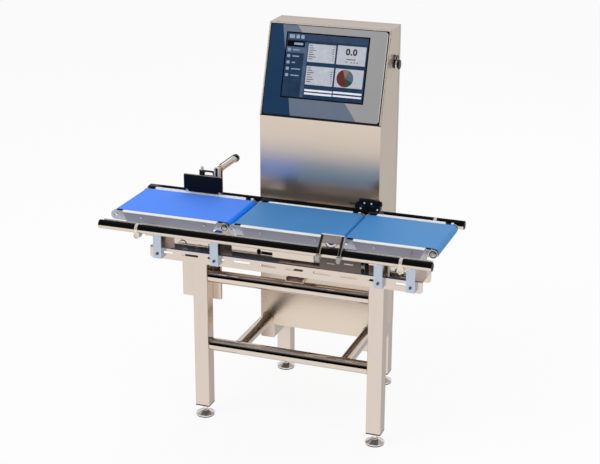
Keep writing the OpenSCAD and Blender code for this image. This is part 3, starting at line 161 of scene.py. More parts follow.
def rgb(tree, value):
    """A colour for a socket, from a hex value, a colour property, another node's output, or a share between 0 and 1
    with the two colours that it leads from and to."""
    if isinstance(value, bpy.types.NodeSocket):
        return value
    if isinstance(value, tuple) and isinstance(value[0], bpy.types.NodeSocket):
        share, first, second = value
        return add(tree, "Mix", {"Factor": share, 6: rgb(tree, first), 7: rgb(tree, second)},
                   data_type="RGBA").outputs[2]
    return linear(value) if isinstance(value, str) else list(value)[:3] + [1.0]


def material(name):
    """A new material; returns it, its node tree and its object coordinates, in metres."""
    made = bpy.data.materials.new(name)
    made.use_nodes = True
    return made, made.node_tree, add(made.node_tree, "TexCoord").outputs["Object"]


def facing(tree, way, low, high):
    """Rises from 0 to 1 as a face turns towards a direction, between two cosines."""
    normal = add(tree, "NewGeometry").outputs["Normal"]
    part = add(tree, "VectorMath", {0: normal, 1: way}, operation="DOT_PRODUCT").outputs["Value"]
    return add(tree, "MapRange", {"Value": part, "From Min": low, "From Max": high}).outputs["Result"]


def past(tree, at, axis, limit_mm, side="GREATER"):
    """1 past a plane across an axis, else 0."""
    part = add(tree, "SeparateXYZ", {0: at}).outputs[axis]
    return add(tree, "Math", {0: part, 1: limit_mm * MM}, operation=side + "_THAN").outputs[0]


def surface(kit, base, clouds, tint, rough, grain=None, relief=None, rough_by="clouds", added=None, glow=0.0,
            **sockets):
    """Feeds a material's shader: slow clouds tint the base colour, a fine grain stands in relief, and the clouds,
    the grain or both set the roughness, to which more may be added. Clouds and grain are a spacing in mm, a noise
    detail and a stretch along X, Y and Z, or a node's output; relief is a strength and a depth in mm; the base is
    any colour that rgb takes."""
    made, tree, at = kit
    noise = {}
    for key, spec in (("clouds", clouds), ("grain", grain)):
        if isinstance(spec, tuple):
            spacing, detail, stretch = spec + ((1, 1, 1),) * (3 - len(spec))
            drawn = add(tree, "Mapping", {"Vector": at, "Scale": [1 / s for s in stretch]}).outputs["Vector"]
            spec = add(tree, "TexNoise", {"Vector": drawn, "Scale": 1000 / spacing, "Detail": detail}).outputs["Fac"]
        noise[key] = spec
    level = add(tree, "MapRange", {"Value": noise["clouds"], "From Min": 0.3, "From Max": 0.7, "To Min": tint[0],
                                   "To Max": tint[1]}).outputs["Result"]
    shade = add(tree, "Mix", {"Factor": 1.0, 6: rgb(tree, base), 7: level}, data_type="RGBA",
                blend_type="MULTIPLY").outputs[2]
    fed = {"Base Color": shade}
    if rough:
        start, end = 0.3, 0.7
        if rough_by == "both":
            start, end = 0.7, 1.3
            noise["both"] = add(tree, "Math", {0: noise["grain"], 1: noise["clouds"]}, operation="ADD").outputs[0]
        dull = add(tree, "MapRange", {"Value": noise[rough_by], "From Min": start, "From Max": end,
                                      "To Min": rough[0], "To Max": rough[1]}).outputs["Result"]
        fed["Roughness"] = add(tree, "Math", {0: dull, 1: added}, operation="ADD").outputs[0] if added else dull
    if relief:
        fed["Normal"] = add(tree, "Bump", {"Height": noise["grain"], "Strength": relief[0],
                                           "Distance": relief[1] * MM}).outputs["Normal"]
    if glow:
        fed["Emission Color"] = shade
        fed["Emission Strength"] = glow
    fed.update((key.replace("_", " "), value) for key, value in sockets.items())
    feed(tree, tree.nodes["Principled BSDF"], fed)
    return made


# ---------------------------------------------------------------- finishes

def ground_stainless(name, base, along="Z", low=0.16, high=0.3, relief=0.05, top_shade=1.0, bare=1.0):
    """Austenitic stainless sheet, belt-ground: fine parallel lines smear what it reflects, and handling leaves slow
    cloudy differences. A face that looks up has its colour scaled by the factor for the tops, a painted shade when
    below 1, and loses a quarter or more of its metal. The real grit is under 0.2 mm, so the lines are drawn at the
    spacing that shows."""
    kit = _, tree, _ = material(name)
    up = facing(tree, UP, 0.3, 0.9)
    metal = add(tree, "MapRange", {"Value": up, "To Min": bare, "To Max": bare * top_shade * 0.75}).outputs["Result"]
    grain = bpy.context.scene.checkweigher_sizes.grain / MM
    stretch = tuple(60 if axis == along else 1 for axis in "XYZ")
    # Faces that look up take the base colour times the factor for the tops: painted shade when it is below 1.
    return surface(kit, (up, base, [c * top_shade for c in base]), (160, 3), (0.96, 1.0), (low, high),
                   (grain, 2, stretch), (relief, 0.05), "both", Metallic=metal)


def polished_steel(name, base, low=0.06, high=0.14, bare=1.0):
    """Drawn or turned stainless steel, polished: nearly a mirror, with faint rings and a few dull patches."""
    return surface(material(name), base, (60, 3), (0.94, 1.0), (low, high), (2.5, 2), (0.02, 0.03), Metallic=bare)


def blasted_steel(name, base, metallic=0.85):
    """Laser-cut steel, bead-blasted: an even silk surface with a fine crater grain, cool in colour."""
    return surface(material(name), base, (45, 2), (0.95, 1.0), (0.36, 0.5), (1.6, 4), (0.18, 0.08), "grain",
                   Metallic=metallic)


def anodised_profile(name, web, ledge, split_z):
    """Extruded aluminium, satin anodised. The web is grey with faint die lines along X; above split_z the shoulder
    and the ledge on top are painted from the web's grey to white as they turn up, a painted highlight that draws a
    white line under the belt's edge."""
    kit = _, tree, at = material(name)
    # This mask paints the faces above split_z white as they turn up: painted highlight.
    milled = add(tree, "Math", {0: facing(tree, UP, 0.08, 0.4), 1: past(tree, at, "Z", split_z)},
                 operation="MULTIPLY").outputs[0]
    return surface(kit, (milled, web, ledge), (90, 2), (0.95, 1.0), (0.3, 0.42), (2.5, 2, (80, 1, 1)),
                   (0.04, 0.05), "grain", Metallic=0.25)


def machined_metal(name, base, low=0.2, high=0.34, bare=1.0):
    """Turned or milled metal, plain or clear-anodised: soft reflections with the cutter's fine path."""
    return surface(material(name), base, (30, 2), (0.93, 1.0), (low, high), (1.8, 2, (6, 1, 1)), (0.05, 0.05),
                   "grain", Metallic=bare)


def moulded_plastic(name, base, low=0.32, high=0.46, grain_mm=0.9, shine=0.5, painted_top_highlight=None):
    """Injection-moulded plastic: spark-eroded grain breaks the gloss, and worn places are a little smoother; the
    faces that look up can be painted pale, a painted highlight."""
    made = surface(material(name), base, (55, 2), (0.85, 1.0), (low, high), (grain_mm, 3), (0.12, 0.05),
                   Metallic=0.0, IOR=1.49, Specular_IOR_Level=shine)
    # Faces that look up are mixed towards the pale colour given: painted highlight.
    if painted_top_highlight:
        tree = made.node_tree
        shader = tree.nodes["Principled BSDF"]
        shade = shader.inputs["Base Color"].links[0].from_socket
        feed(tree, shader, {"Base Color": rgb(tree, (facing(tree, UP, 0.5, 0.9), shade, painted_top_highlight))})
    return made


def rubber(name, base):
    """Moulded nitrile rubber: matt, slightly dusty black."""
    return surface(material(name), base, (14, 4), (0.8, 1.15), (0.6, 0.8), (1.2, 2), (0.15, 0.08), Metallic=0.0,
                   IOR=1.52)


def belt_cover(name, reject, weigh, nose_shade_colour, split_x):
    """Polyurethane-coated polyester belting: a silk film over a fine weave, which shows as a slight cross grain;
    every face of the reject belt that doesn't look straight up, its noses among them, is painted a deeper blue, a
    painted shade. The reject belt is duller."""
    kit = _, tree, at = material(name)
    left = past(tree, at, "X", split_x, "LESS")
    # Faces of the reject belt that don't look straight up take the deeper blue: painted shade.
    nose_shade_mask = add(tree, "Math", {0: facing(tree, UP, 0.999, 0.98), 1: left}, operation="MULTIPLY").outputs[0]
    threads = []
    for stretch in ((4, 1, 1), (1, 4, 1)):
        drawn = add(tree, "Mapping", {"Vector": at, "Scale": [1 / s for s in stretch]}).outputs["Vector"]
        threads.append(add(tree, "TexNoise", {"Vector": drawn, "Scale": 1000 / 1.6}).outputs["Fac"])
    weave = add(tree, "Math", {0: threads[0], 1: threads[1]}, operation="ADD").outputs[0]
    duller = add(tree, "Math", {0: left, 1: 0.22}, operation="MULTIPLY").outputs[0]
    return surface(kit, (nose_shade_mask, (left, weigh, reject), nose_shade_colour), (120, 3), (0.96, 1.0), (0.42, 0.5), weave,
                   (0.08, 0.05), added=duller, Metallic=0.0, IOR=1.5, Specular_IOR_Level=0.24)


def screw_steel(name, bright, dull, split_z):
    """Socket screws: cold-headed stainless with soft forging marks; those below split_z, low on the support plates,
    are drawn dark and not metallic."""
    kit = _, tree, at = material(name)
    high = past(tree, at, "Z", split_z)
    return surface(kit, (high, dull, bright), (3, 2), (0.88, 1.0), (0.22, 0.34), (3, 2), (0.05, 0.05), Metallic=high)


def weld_bead(name, base):
    """TIG weld in stainless, brushed but not ground flush: overlapping ripples with straw-coloured heat tint."""
    return surface(material(name), base, (18, 2), (0.75, 1.05), (0.28, 0.48), (2.2, 1), (0.35, 0.3), "grain",
                   Metallic=1.0)


def powder_coat(name, base):
    """Powder-coated casting: low gloss with a fine orange peel."""
    return surface(material(name), base, (40, 2), (0.88, 1.05), (0.42, 0.55), (2.2, 1), (0.2, 0.1), "grain",
                   Metallic=0.0, IOR=1.5)


def painted_shade_front(name, steel, black, way, limits=(), bare=0.6):
    """Polished stainless whose faces that turn one way are painted black, a painted shade; limits keep it to part of
    the piece, and the painted faces lose their metal.
    """
    kit = _, tree, at = material(name)
    # Faces that turn towards way are painted black: painted shade.
    front = facing(tree, way, 0.7, 0.85)
    for axis, limit, side in limits:
        front = add(tree, "Math", {0: front, 1: past(tree, at, axis, limit, side)}, operation="MULTIPLY").outputs[0]
    metal = add(tree, "MapRange", {"Value": front, "To Min": bare, "To Max": 0.0}).outputs["Result"]
    return surface(kit, (front, steel, black), (20, 2), (0.95, 1.0), (0.2, 0.3), Metallic=metal)


def tinted_lens(name, base):
    """Tinted polycarbonate window: dyed through, glossy, with faint flow marks and a lit diode behind it."""
    return surface(material(name), base, (6, 2), (0.6, 1.0), (0.08, 0.16), glow=0.05, Metallic=0.0, IOR=1.58)


def prism_plastic(name, base):
    """Moulded acrylic prisms behind a clear face: a pale plate with a regular sparkle of corner cubes."""
    kit = _, tree, at = material(name)
    cells = add(tree, "TexVoronoi", {"Vector": at, "Scale": 1000 / 3.5, "Randomness": 0.1}, feature="F1")
    cube = cells.outputs["Distance"]
    return surface(kit, base, cube, (0.8, 1.05), None, cube, (0.25, 0.2), Metallic=0.3, IOR=1.49, Roughness=0.22,
                   Coat_Weight=0.4, Coat_Roughness=0.05)


def panel_places(tree, at):
    """How far a point lies across and up the slanted panel, in mm from its lower left corner."""
    places = []
    for way in (Vector(RIGHT), Vector((0, math.sin(PANEL_TILT), math.cos(PANEL_TILT)))):
        part = add(tree, "VectorMath", {0: at, 1: way}, operation="DOT_PRODUCT").outputs["Value"]
        places.append(add(tree, "Math", {0: part, 1: 1 / MM, 2: -PANEL_CORNER.dot(way) / MM},
                          operation="MULTIPLY_ADD").outputs[0])
    return places


def printed_film(name, navy, slate, grey):
    """Back-printed polyester film: three flat inks under a satin skin with a fine antiglare grain. The inks meet
    on two slanted lines, and the trimmed edge of the film shows light."""
    kit = _, tree, at = material(name)
    across, up = panel_places(tree, at)
    inks = navy
    for top, foot, ink in (((57, 367), (127, 6), slate), ((118.4, 366), (398, 10), grey)):
        slope = (foot[0] - top[0]) / (foot[1] - top[1])
        line = add(tree, "Math", {0: up, 1: slope, 2: top[0] - slope * top[1]}, operation="MULTIPLY_ADD").outputs[0]
        right = add(tree, "Math", {0: across, 1: line}, operation="GREATER_THAN").outputs[0]
        inks = (right, inks, ink)
    edge = add(tree, "Math", {0: across, 1: 488.2}, operation="GREATER_THAN").outputs[0]
    return surface(kit, (edge, inks, "#D6D8DE"), (80, 2), (0.97, 1.0), (0.3, 0.36), (0.8, 2), (0.06, 0.03),
                   Metallic=0.0, IOR=1.52)


def display_glass(name, ground, band, menu, lit):
    """Hard-coated display: a dark picture under a nearly clear glass. A pale band heads it, and the menu column at
    its left has one lit row. The terminal's housing behind the glass is dark grey."""
    kit = _, tree, at = material(name)
    across, up = panel_places(tree, at)
    picture = black = (0.004, 0.004, 0.006)
    for ink, *box in ((ground, 82, 415, 82.5, 332), (band, 82, 415, 307, 332), (black, 84, 166, 280, 303),
                      (menu, 157, 171, 84, 300), (lit, 82, 166, 256, 279)):
        inside = []
        for place, low, high in ((across, *box[:2]), (up, *box[2:])):
            inside.append(add(tree, "Math", {0: place, 1: (low + high) / 2, 2: (high - low) / 2},
                              operation="COMPARE").outputs[0])
        inside = add(tree, "Math", {0: inside[0], 1: inside[1]}, operation="MULTIPLY").outputs[0]
        picture = (inside, picture, ink)
    return surface(kit, (facing(tree, FRONT, 0.2, 0.3), "#34373B", picture), (25, 3), (0.85, 1.1), (0.1, 0.16),
                   glow=0.15, Metallic=0.0, IOR=1.5)


def display_light(name, base, strength=0.25):
    """A lit field of the display: even colour with the faint mottle of a backlight, under the glass's soft gloss."""
    return surface(material(name), base, (22, 2), (0.94, 1.03), (0.2, 0.3), glow=strength, Metallic=0.0, IOR=1.5)


def share_chart(name, centre_s, centre_t):
    """Lit chart of the shares of good, light and heavy packs: four flat colours round its centre."""
    kit = _, tree, at = material(name)
    across, up = panel_places(tree, at)
    across = add(tree, "Math", {0: across, 1: centre_s}, operation="SUBTRACT").outputs[0]
    up = add(tree, "Math", {0: up, 1: centre_t}, operation="SUBTRACT").outputs[0]
    turn = add(tree, "Math", {0: up, 1: across}, operation="ARCTAN2").outputs[0]
    share = add(tree, "MapRange", {"Value": turn, "From Min": -math.pi, "From Max": math.pi}).outputs["Result"]
    paint = add(tree, "ValToRGB", {"Fac": share}, ((0.0, "#5C2A26"), (0.29, "#24483A"), (0.43, "#4E5E74"),
                                                   (0.67, "#7C6C5C"), (0.8, "#5C2A26")))
    paint.color_ramp.interpolation = "CONSTANT"
    return surface(kit, paint.outputs["Color"], (20, 2), (1.0, 1.0), (0.2, 0.3), glow=0.15, IOR=1.5)


def finish(node_names, made):
    """Puts a material on every slot of these CAD nodes."""
    for name in node_names:
        slots = NODES[name].material_slots
        if not slots:
            NODES[name].data.materials.append(made)
        for one in slots:
            one.material = made


# ---------------------------------------------------------------- modelling by operators

def begin(chosen=()):
    """Leaves edit mode and selects only the chosen objects; the first becomes active."""
    if bpy.context.object and bpy.context.object.mode != "OBJECT":
        bpy.ops.object.mode_set(mode="OBJECT")
    bpy.ops.object.select_all(action="DESELECT")
    for one in chosen:
        one.select_set(True)
    if chosen:
        bpy.context.view_layer.objects.active = chosen[0]


def primitive(kind, **options):
    """Adds a primitive at its size and place, with nothing else selected."""
    begin()
    getattr(bpy.ops.mesh, "primitive_%s_add" % kind)(**options)
    return bpy.context.object


def edit(obj, faces=None, edges=None):
    """Enters edit mode with only the faces or edges selected that a test accepts, in the object's own axes."""
    bpy.ops.object.mode_set(mode="EDIT")
    bpy.ops.mesh.select_mode(type="FACE" if faces else "EDGE")
    bpy.ops.mesh.select_all(action="DESELECT")
    mesh = bmesh.from_edit_mesh(obj.data)
    for element in mesh.faces if faces else mesh.edges:
        element.select_set(bool((faces or edges)(element)))
    mesh.select_flush_mode()
    bmesh.update_edit_mesh(obj.data)


def repeat(obj, moves):
    """Puts a part's place into its mesh; returns it with a copy, on a mesh of its own, for each move."""
    begin([obj])
    bpy.ops.object.transform_apply(location=True, rotation=True, scale=True)
    parts = [obj]
    for move in moves:
        twin = obj.copy()
        twin.data = obj.data.copy()
        twin.data.transform(move)
        bpy.context.collection.objects.link(twin)
        parts.append(twin)
    return parts


def assemble(name, parts, body, made, smooth=30):
    """Puts the parts' places into their meshes and joins them to one smoothed piece, which rides on its body."""
    begin(parts)
    bpy.ops.object.transform_apply(location=True, rotation=True, scale=True)
    if len(parts) > 1:
        bpy.ops.object.join()
    piece = bpy.context.object
    piece.name = piece.data.name = name
    bpy.ops.object.shade_smooth_by_angle(angle=math.radians(smooth))
    piece.data.materials.clear()
    piece.data.materials.append(made)
    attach(piece, body)
    return piece


def turned(at, way, radius, depth, steps, vertices=48):
    """A short turned part: a cylinder on the point at, whose front face is inset and sunk or raised in steps."""
    way = Vector(way)
    made = primitive("cylinder", vertices=vertices, radius=radius * MM, depth=depth * MM,
                     location=(Vector(at) + way * depth / 2) * MM, rotation=way.to_track_quat("Z", "Y").to_euler())
    edit(made, faces=lambda f: f.normal.z > 0.9)
    for inset, rise in steps:
        bpy.ops.mesh.inset(thickness=inset * MM, depth=rise * MM)
    return made


def block(low, high, ease, tilt=0.0):
    """A block between two corners with eased edges, leaned back about X."""
    low, high = Vector(low), Vector(high)
    made = primitive("cube", size=1, location=(low + high) / 2 * MM, rotation=(tilt, 0, 0), scale=(high - low) * MM)
    bpy.ops.object.transform_apply(location=False, rotation=False, scale=True)
    edit(made, edges=lambda e: True)
    bpy.ops.mesh.bevel(offset=ease * MM, segments=2, affect="EDGES")
    return made


def panel_plate(s0, s1, t0, t1, out, rise, corner):
    """A thin plate on the slanted panel: a cube at its size and place, its upright edges rounded and its front
    edge eased."""
    made = primitive("cube", size=1, location=on_panel((s0 + s1) / 2, (t0 + t1) / 2, out + rise / 2),
                     rotation=(-PANEL_TILT, 0, 0), scale=((s1 - s0) * MM, rise * MM, (t1 - t0) * MM))
    bpy.ops.object.transform_apply(location=False, rotation=False, scale=True)
    edit(made, edges=lambda e: abs((e.verts[0].co - e.verts[1].co).normalized().y) > 0.9)
    bpy.ops.mesh.bevel(offset=corner * MM, segments=3, affect="EDGES")
    edit(made, faces=lambda f: f.normal.y < -0.9)
    bpy.ops.mesh.bevel(offset=rise * 0.3 * MM, segments=1, affect="EDGES")
    return made


def shift(x=0.0, y=0.0, z=0.0):
    return Matrix.Translation(Vector((x, y, z)) * MM)


def turned_round(x):
    """Half a turn about the upright through the belts' centre line at x."""
    return shift(x, BELT_Y) @ Matrix.Rotation(math.pi, 4, "Z") @ shift(-x, -BELT_Y)


# ---------------------------------------------------------------- operators

class CHECKWEIGHER_OT_stand(bpy.types.Operator):
    """Finishes the stand, the channel beam and what hangs on them"""
    bl_idname = "checkweigher.stand"
    bl_label = "Stand"

    def execute(self, context):
        tone = context.scene.checkweigher_colours
        upright = ground_stainless("ground stainless tube", tone.stainless, "Z", 0.14, 0.26)
        level = ground_stainless("ground stainless channel", tone.stainless, "X", 0.1, 0.22)
        black = moulded_plastic("black polyamide cap", tone.black)
        finish(["stand_tubes", "valve_plate"], upright)
        finish(["channel_beam", "cable_tray", "base_trays", "support_saddles", "weigh_carrier", "weigh_housing"],
               level)
        finish(["stand_bars"], polished_steel("polished stainless bar", tone.stainless, 0.03, 0.06))
        finish(["foot_front_left", "foot_front_right", "foot_rear_left", "foot_rear_right"],
               polished_steel("turned stainless foot", "#F4ECE4", 0.04, 0.1, 0.86))
        finish(["leg_caps"], black)
        finish(["foot_pads"], rubber("moulded rubber foot", tone.black))
        finish(["air_valve"], powder_coat("painted valve body", "#3A3C40"))
        finish(["support_plates"], blasted_steel("bead-blasted plate", tone.blasted))
        finish(["load_cell"], machined_metal("anodised load cell", "#D2D4D8"))
        # Two black blocks behind slots of the stand make those slots dark: painted shade.
        liners = [block((x0, -198.8, 689.8), (x1, -197.2, 698.2), 0.5) for x0, x1 in ((-383, -327.5), (-287.5, -276))]
        assemble("slot_shade_blocks", liners, "stand", black)
        # A smoke-brown plate over the right part of the trays' front stands in for the shade there: painted shade.
        # Two small metal catches sit on it.
        assemble("tray_shade_plate", [block((177, -211.4, 716.5), (340.5, -210, 774), 0.4)], "stand",
                 moulded_plastic("smoke-brown painted shade plate", "#685B51", 0.3, 0.4))
        assemble("tray_seal", [block((-441, -209.6, 714.05), (519, -201, 714.9), 0.3)], "stand",
                 rubber("blue silicone seal", "#2C5086"))
        catches = [block((274, -213.6, 747.5), (310, -211.4, 752.5), 0.8),
                   block((206, -213.2, 742), (238, -211.4, 745), 0.6)]
        assemble("tray_shade_plate_catches", catches, "stand", machined_metal("milled catch", tone.stainless, bare=0.3))
        return {"FINISHED"}


class CHECKWEIGHER_OT_welds(bpy.types.Operator):
    """Lays the weld beads round the ends of the stand's round bars"""
    bl_idname = "checkweigher.welds"
    bl_label = "Weld beads"

    def execute(self, context):
        leg = context.scene.checkweigher_sizes.weld_leg / MM / 2
        beads = repeat(self.bead((-292.5, -170, 318), (0, math.pi / 2, 0), leg),
                       [shift(660), shift(0, 0, 291), shift(660, 0, 291)])
        beads += repeat(self.bead((-174.5, 152, 318), (math.pi / 2, 0, 0), leg), [shift(440)])
        saddle = self.bead((-174.5, -170, 318), (math.pi / 2, 0, 0), leg)
        self.fold(saddle)
        beads += repeat(saddle, [shift(440)])
        assemble("stand_welds", beads, "stand", weld_bead("stainless weld bead", "#CDB9A4"), 60)
        return {"FINISHED"}

    def bead(self, at, turn, leg):
        """A ring round a bar's end, with the slight unevenness of a hand-laid weld."""
        made = primitive("torus", major_radius=25.3 * MM, minor_radius=leg * MM, major_segments=120,
                         minor_segments=10, location=Vector(at) * MM, rotation=turn)
        edit(made, faces=lambda f: True)
        bpy.ops.transform.vertex_random(offset=0.25 * MM, uniform=0.3, normal=0.7, seed=3)
        return made

    def fold(self, obj):
        """Stretches the ring across and folds its halves back by 45 degrees, along the line where two equal
        round bars meet."""
        begin([obj])
        bpy.ops.object.transform_apply(location=False, rotation=True, scale=True)
        edit(obj, faces=lambda f: True)
        bpy.ops.transform.resize(value=(math.sqrt(2), 1, 1))
        for side in (1, -1):
            edit(obj, faces=lambda f: f.calc_center_median().x * side > 0)
            bpy.ops.transform.rotate(value=-side * math.radians(45), orient_axis="Z",
                                     center_override=tuple(obj.location))


class CHECKWEIGHER_OT_conveyors(bpy.types.Operator):
    """Finishes the three belt conveyors and their drives"""
    bl_idname = "checkweigher.conveyors"
    bl_label = "Conveyors"

    def execute(self, context):
        tone = context.scene.checkweigher_colours
        # The side profiles' tops get a painted highlight in the ledge's white.
        finish(["side_plates"], anodised_profile("anodised side profile", tone.profile, tone.ledge, 868))
        finish(["end_brackets"], machined_metal("anodised end bracket", tone.bracket, bare=0.55))
        finish(["slider_beds"], ground_stainless("ground slider bed", tone.stainless, "X", 0.2, 0.32))
        # The reject belt's noses are painted a deeper blue: painted shade.
        finish(["conveyor_belts"], belt_cover("coated polyester belt", tone.reject_belt, tone.weigh_belt,
                                              tone.reject_nose_shade, -157))
        finish([name + end for name in CONVEYORS for end in ("_drive_roller", "_idler_roller")],
               machined_metal("ground roller steel", "#C8C6C4", 0.12, 0.24))
        finish(["roller_bearings"], polished_steel("bearing steel", "#B8B4B0", 0.08, 0.16))
        finish(["drive_motors"], powder_coat("powder-coated motor", "#2A2C30"))
        finish(["timing_belts"], rubber("moulded timing belt", tone.black))
        finish(["drive_covers"], moulded_plastic("black ABS cover", tone.black, 0.26, 0.38, shine=0.3))
        finish(["frame_screws"], screw_steel("stainless screw", "#E4DED8", "#5A544E", 720))
        return {"FINISHED"}


class CHECKWEIGHER_OT_bearing_ends(bpy.types.Operator):
    """Adds the rings, seals and hubs of the open bearings at the idler ends"""
    bl_idname = "checkweigher.bearing_ends"
    bl_label = "Bearing ends"

    def execute(self, context):
        tone = context.scene.checkweigher_colours
        bright = machined_metal("turned bearing ring", tone.ledge, 0.22, 0.34)
        seal = rubber("moulded bearing seal", tone.black)
        steel = polished_steel("turned bearing hub", "#D4D2D0", 0.14, 0.24)
        places = [x1 - NOSE for x0, x1 in CONVEYORS.values()]
        first = places[0]
        moves = [shift(x - first) for x in places[1:]]
        moves += [turned_round(x) @ shift(x - first) for x in places]
        ring = turned((first, BRACKET_Y, ROLLER_Z), FRONT, 16.6, 2.0, ((0.5, 0.3), (1.7, 0), (0.3, -1.4)), 64)
        assemble("bearing_rings", repeat(ring, moves), "stand", bright)
        disc = turned((first, BRACKET_Y, ROLLER_Z), FRONT, 14.0, 1.3, ((0.7, 0), (0.4, -0.3), (1.2, 0)), 64)
        assemble("bearing_seals", repeat(disc, moves), "stand", seal)
        lefts = [x0 + NOSE for x0, x1 in CONVEYORS.values()]
        cap = turned((lefts[0], BRACKET_Y, ROLLER_Z), FRONT, 5.5, 1.2, ((0.7, 0.4), (1.6, 0), (0.3, -0.8)), 32)
        assemble("bracket_caps", repeat(cap, [shift(x - lefts[0]) for x in lefts[1:]]), "stand", bright)
        for name, x in zip(CONVEYORS, places):
            hub = turned((x, BRACKET_Y, ROLLER_Z), FRONT, 10.6, 2.0,
                         ((0.6, 0.5), (3.6, 0), (0.4, -0.5), (1.8, 0), (0.4, -0.8)), 64)
            assemble(name + "_idler_hubs", repeat(hub, [turned_round(x)]), name + "_idler", steel)
            hole = turned((x + 5.2, BRACKET_Y - 2.1, ROLLER_Z - 5.2), FRONT, 2.1, 0.6, ((0.5, 0), (0.2, -0.3)), 20)
            around = [shift(), shift(-10.4), shift(0, 0, 10.4), shift(-10.4, 0, 10.4)]
            spots = repeat(hole, around[1:] + [turned_round(x) @ move for move in around])
            assemble(name + "_idler_plugs", spots, name + "_idler", seal)
        return {"FINISHED"}


class CHECKWEIGHER_OT_ledge_pads(bpy.types.Operator):
    """Models the black acetal pads on the ledges, in place of the CAD model's plain inserts, and white strips along
    the rear ledges that are a painted highlight
    """
    bl_idname = "checkweigher.ledge_pads"
    bl_label = "Ledge pads"

    def execute(self, context):
        tone = context.scene.checkweigher_colours
        pads = []
        for x0, x1 in CONVEYORS.values():
            for low, high in ((x0 + 18, x0 + 42), (x1 - 46, x1 - 30)):
                pad = block((low, BRACKET_Y + 0.5, 874), (high, BRACKET_Y + 12.5, 881.2), 0.8)
                pads += repeat(pad, [turned_round((low + high) / 2)])
        pads = assemble("ledge_pads", pads, "stand",
                        moulded_plastic("moulded acetal pad", tone.strip, 0.55, 0.65, shine=0.08))
        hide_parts("ledge_inserts")
        # White strips along the rear ledges widen the bright line behind the belts: painted highlight.
        strips = []
        for (x0, x1), top in zip(CONVEYORS.values(), (885.5, 881.5, 883.5)):
            strips += [block((x0 + 46, 4.5, 878.8), (x1 - 50, 9.6, top), 0.8),
                       block((x1 - 27, 1.5, 878.6), (x1 - 17.5, 9.6, top), 0.8)]
        assemble("ledge_highlight_strips", strips, "stand", machined_metal("white highlight strip", tone.ledge, bare=0.2))
        return {"FINISHED"}


class CHECKWEIGHER_OT_rails(bpy.types.Operator):
    """Finishes the guard rails, their rods, and the light barrier's reflector"""
    bl_idname = "checkweigher.rails"
    bl_label = "Guard rails"

    def execute(self, context):
        tone = context.scene.checkweigher_colours
        finish(["front_rail_carrier", "rear_rail_carrier"],
               ground_stainless("rolled stainless carrier", tone.stainless, "X", 0.12, 0.22))
        finish(["front_rail_strip", "rear_rail_strip"],
               moulded_plastic("black polyethylene strip", tone.strip, 0.5, 0.62, 1.4, shine=0.12))
        finish(["front_rail_clips", "rear_rail_clips"], blasted_steel("satin stainless clip", "#F0E6DA", 0.6))
        finish(["cross_rods", "sensor_bracket"], polished_steel("polished stainless rod", tone.stainless, 0.05, 0.12))
        finish(["reflector_bracket"], blasted_steel("satin stainless bridge", "#E8DACC", 0.5))
        finish(["reflector"], prism_plastic("acrylic reflector", "#A4A49E"))
        finish(["photo_sensor"], moulded_plastic("black sensor housing", tone.black, 0.3, 0.44, shine=0.2))
        return {"FINISHED"}


class CHECKWEIGHER_OT_rail_fittings(bpy.types.Operator):
    """Adds the guard rails' end caps and front lip, and the legs, cover and eye of the reflector's bracket"""
    bl_idname = "checkweigher.rail_fittings"
    bl_label = "Rail fittings"

    def execute(self, context):
        tone = context.scene.checkweigher_colours
        black = moulded_plastic("moulded rail cap", tone.strip, 0.4, 0.5, shine=0.3)
        for name, (y, left) in RAILS.items():
            caps = [turned((x, y, RAIL_Z), (way, 0, 0), 16.7, 0.9, ((0.8, 0.6), (9, 0), (0.5, -0.4)))
                    for x, way in ((left, -1), (RAIL_RIGHT, 1))]
            assemble(name + "_caps", caps, name, black)
        lips = [block((x0, -358.4, 846), (x1, -356.8, 865), 0.4)
                for x0, x1 in ((-646, -506), (-488, 226), (325, 533), (551, 652))]
        assemble("front_rail_lips", lips, "front_rail",
                 machined_metal("rolled stainless edge", "#F6F0EA", 0.22, 0.3, bare=0.4))
        legs = repeat(self.leaning((230, 241), (0, 79), (-6, 7.4), 2.5), [shift(80)])
        # The legs' faces towards the front are painted black: painted shade.
        assemble("reflector_legs", legs, "front_rail",
                 painted_shade_front("bracket leg with painted shade front", "#F0E4D8", tone.strip, REFLECTOR_OUT))
        assemble("reflector_rim", [self.leaning((232, 319), (77.5, 82.5), (-3, 7.8), 2.2)], "front_rail",
                 machined_metal("polished bracket rim", "#F6EEE6", bare=0.3))
        assemble("reflector_cover", [self.leaning((241.2, 309.8), (47, 78), (3.05, 6.4), 0.6)], "front_rail",
                 moulded_plastic("grey reflector cover", "#84807E", 0.4, 0.5))
        mid = REFLECTOR_FOOT + REFLECTOR_UP * 56 + REFLECTOR_OUT * 3
        ring = turned(mid, REFLECTOR_OUT, 20, 1.4, ((1, 0.3), (3, 0), (0.5, -0.8)))
        assemble("reflector_ring", [ring], "front_rail", moulded_plastic("pale reflector ring", "#DCE6F4", 0.2, 0.3))
        eye = turned(mid, REFLECTOR_OUT, 15.4, 1.2, ((1, 0.3), (4, 0.3)))
        assemble("reflector_eye", [eye], "front_rail", moulded_plastic("dark reflector eye", "#34363A", 0.15, 0.25))
        return {"FINISHED"}

    def leaning(self, xs, heights, outs, ease):
        """A block on the leaning reflector bracket: from and to in x, up the slope and out of its front face."""
        foot = Vector((sum(xs) / 2, REFLECTOR_FOOT.y, REFLECTOR_FOOT.z))
        mid = foot + REFLECTOR_UP * sum(heights) / 2 + REFLECTOR_OUT * sum(outs) / 2
        half = Vector([(end - start) / 2 for start, end in (xs, outs, heights)])
        return block(mid - half, mid + half, ease, -REFLECTOR_LEAN)


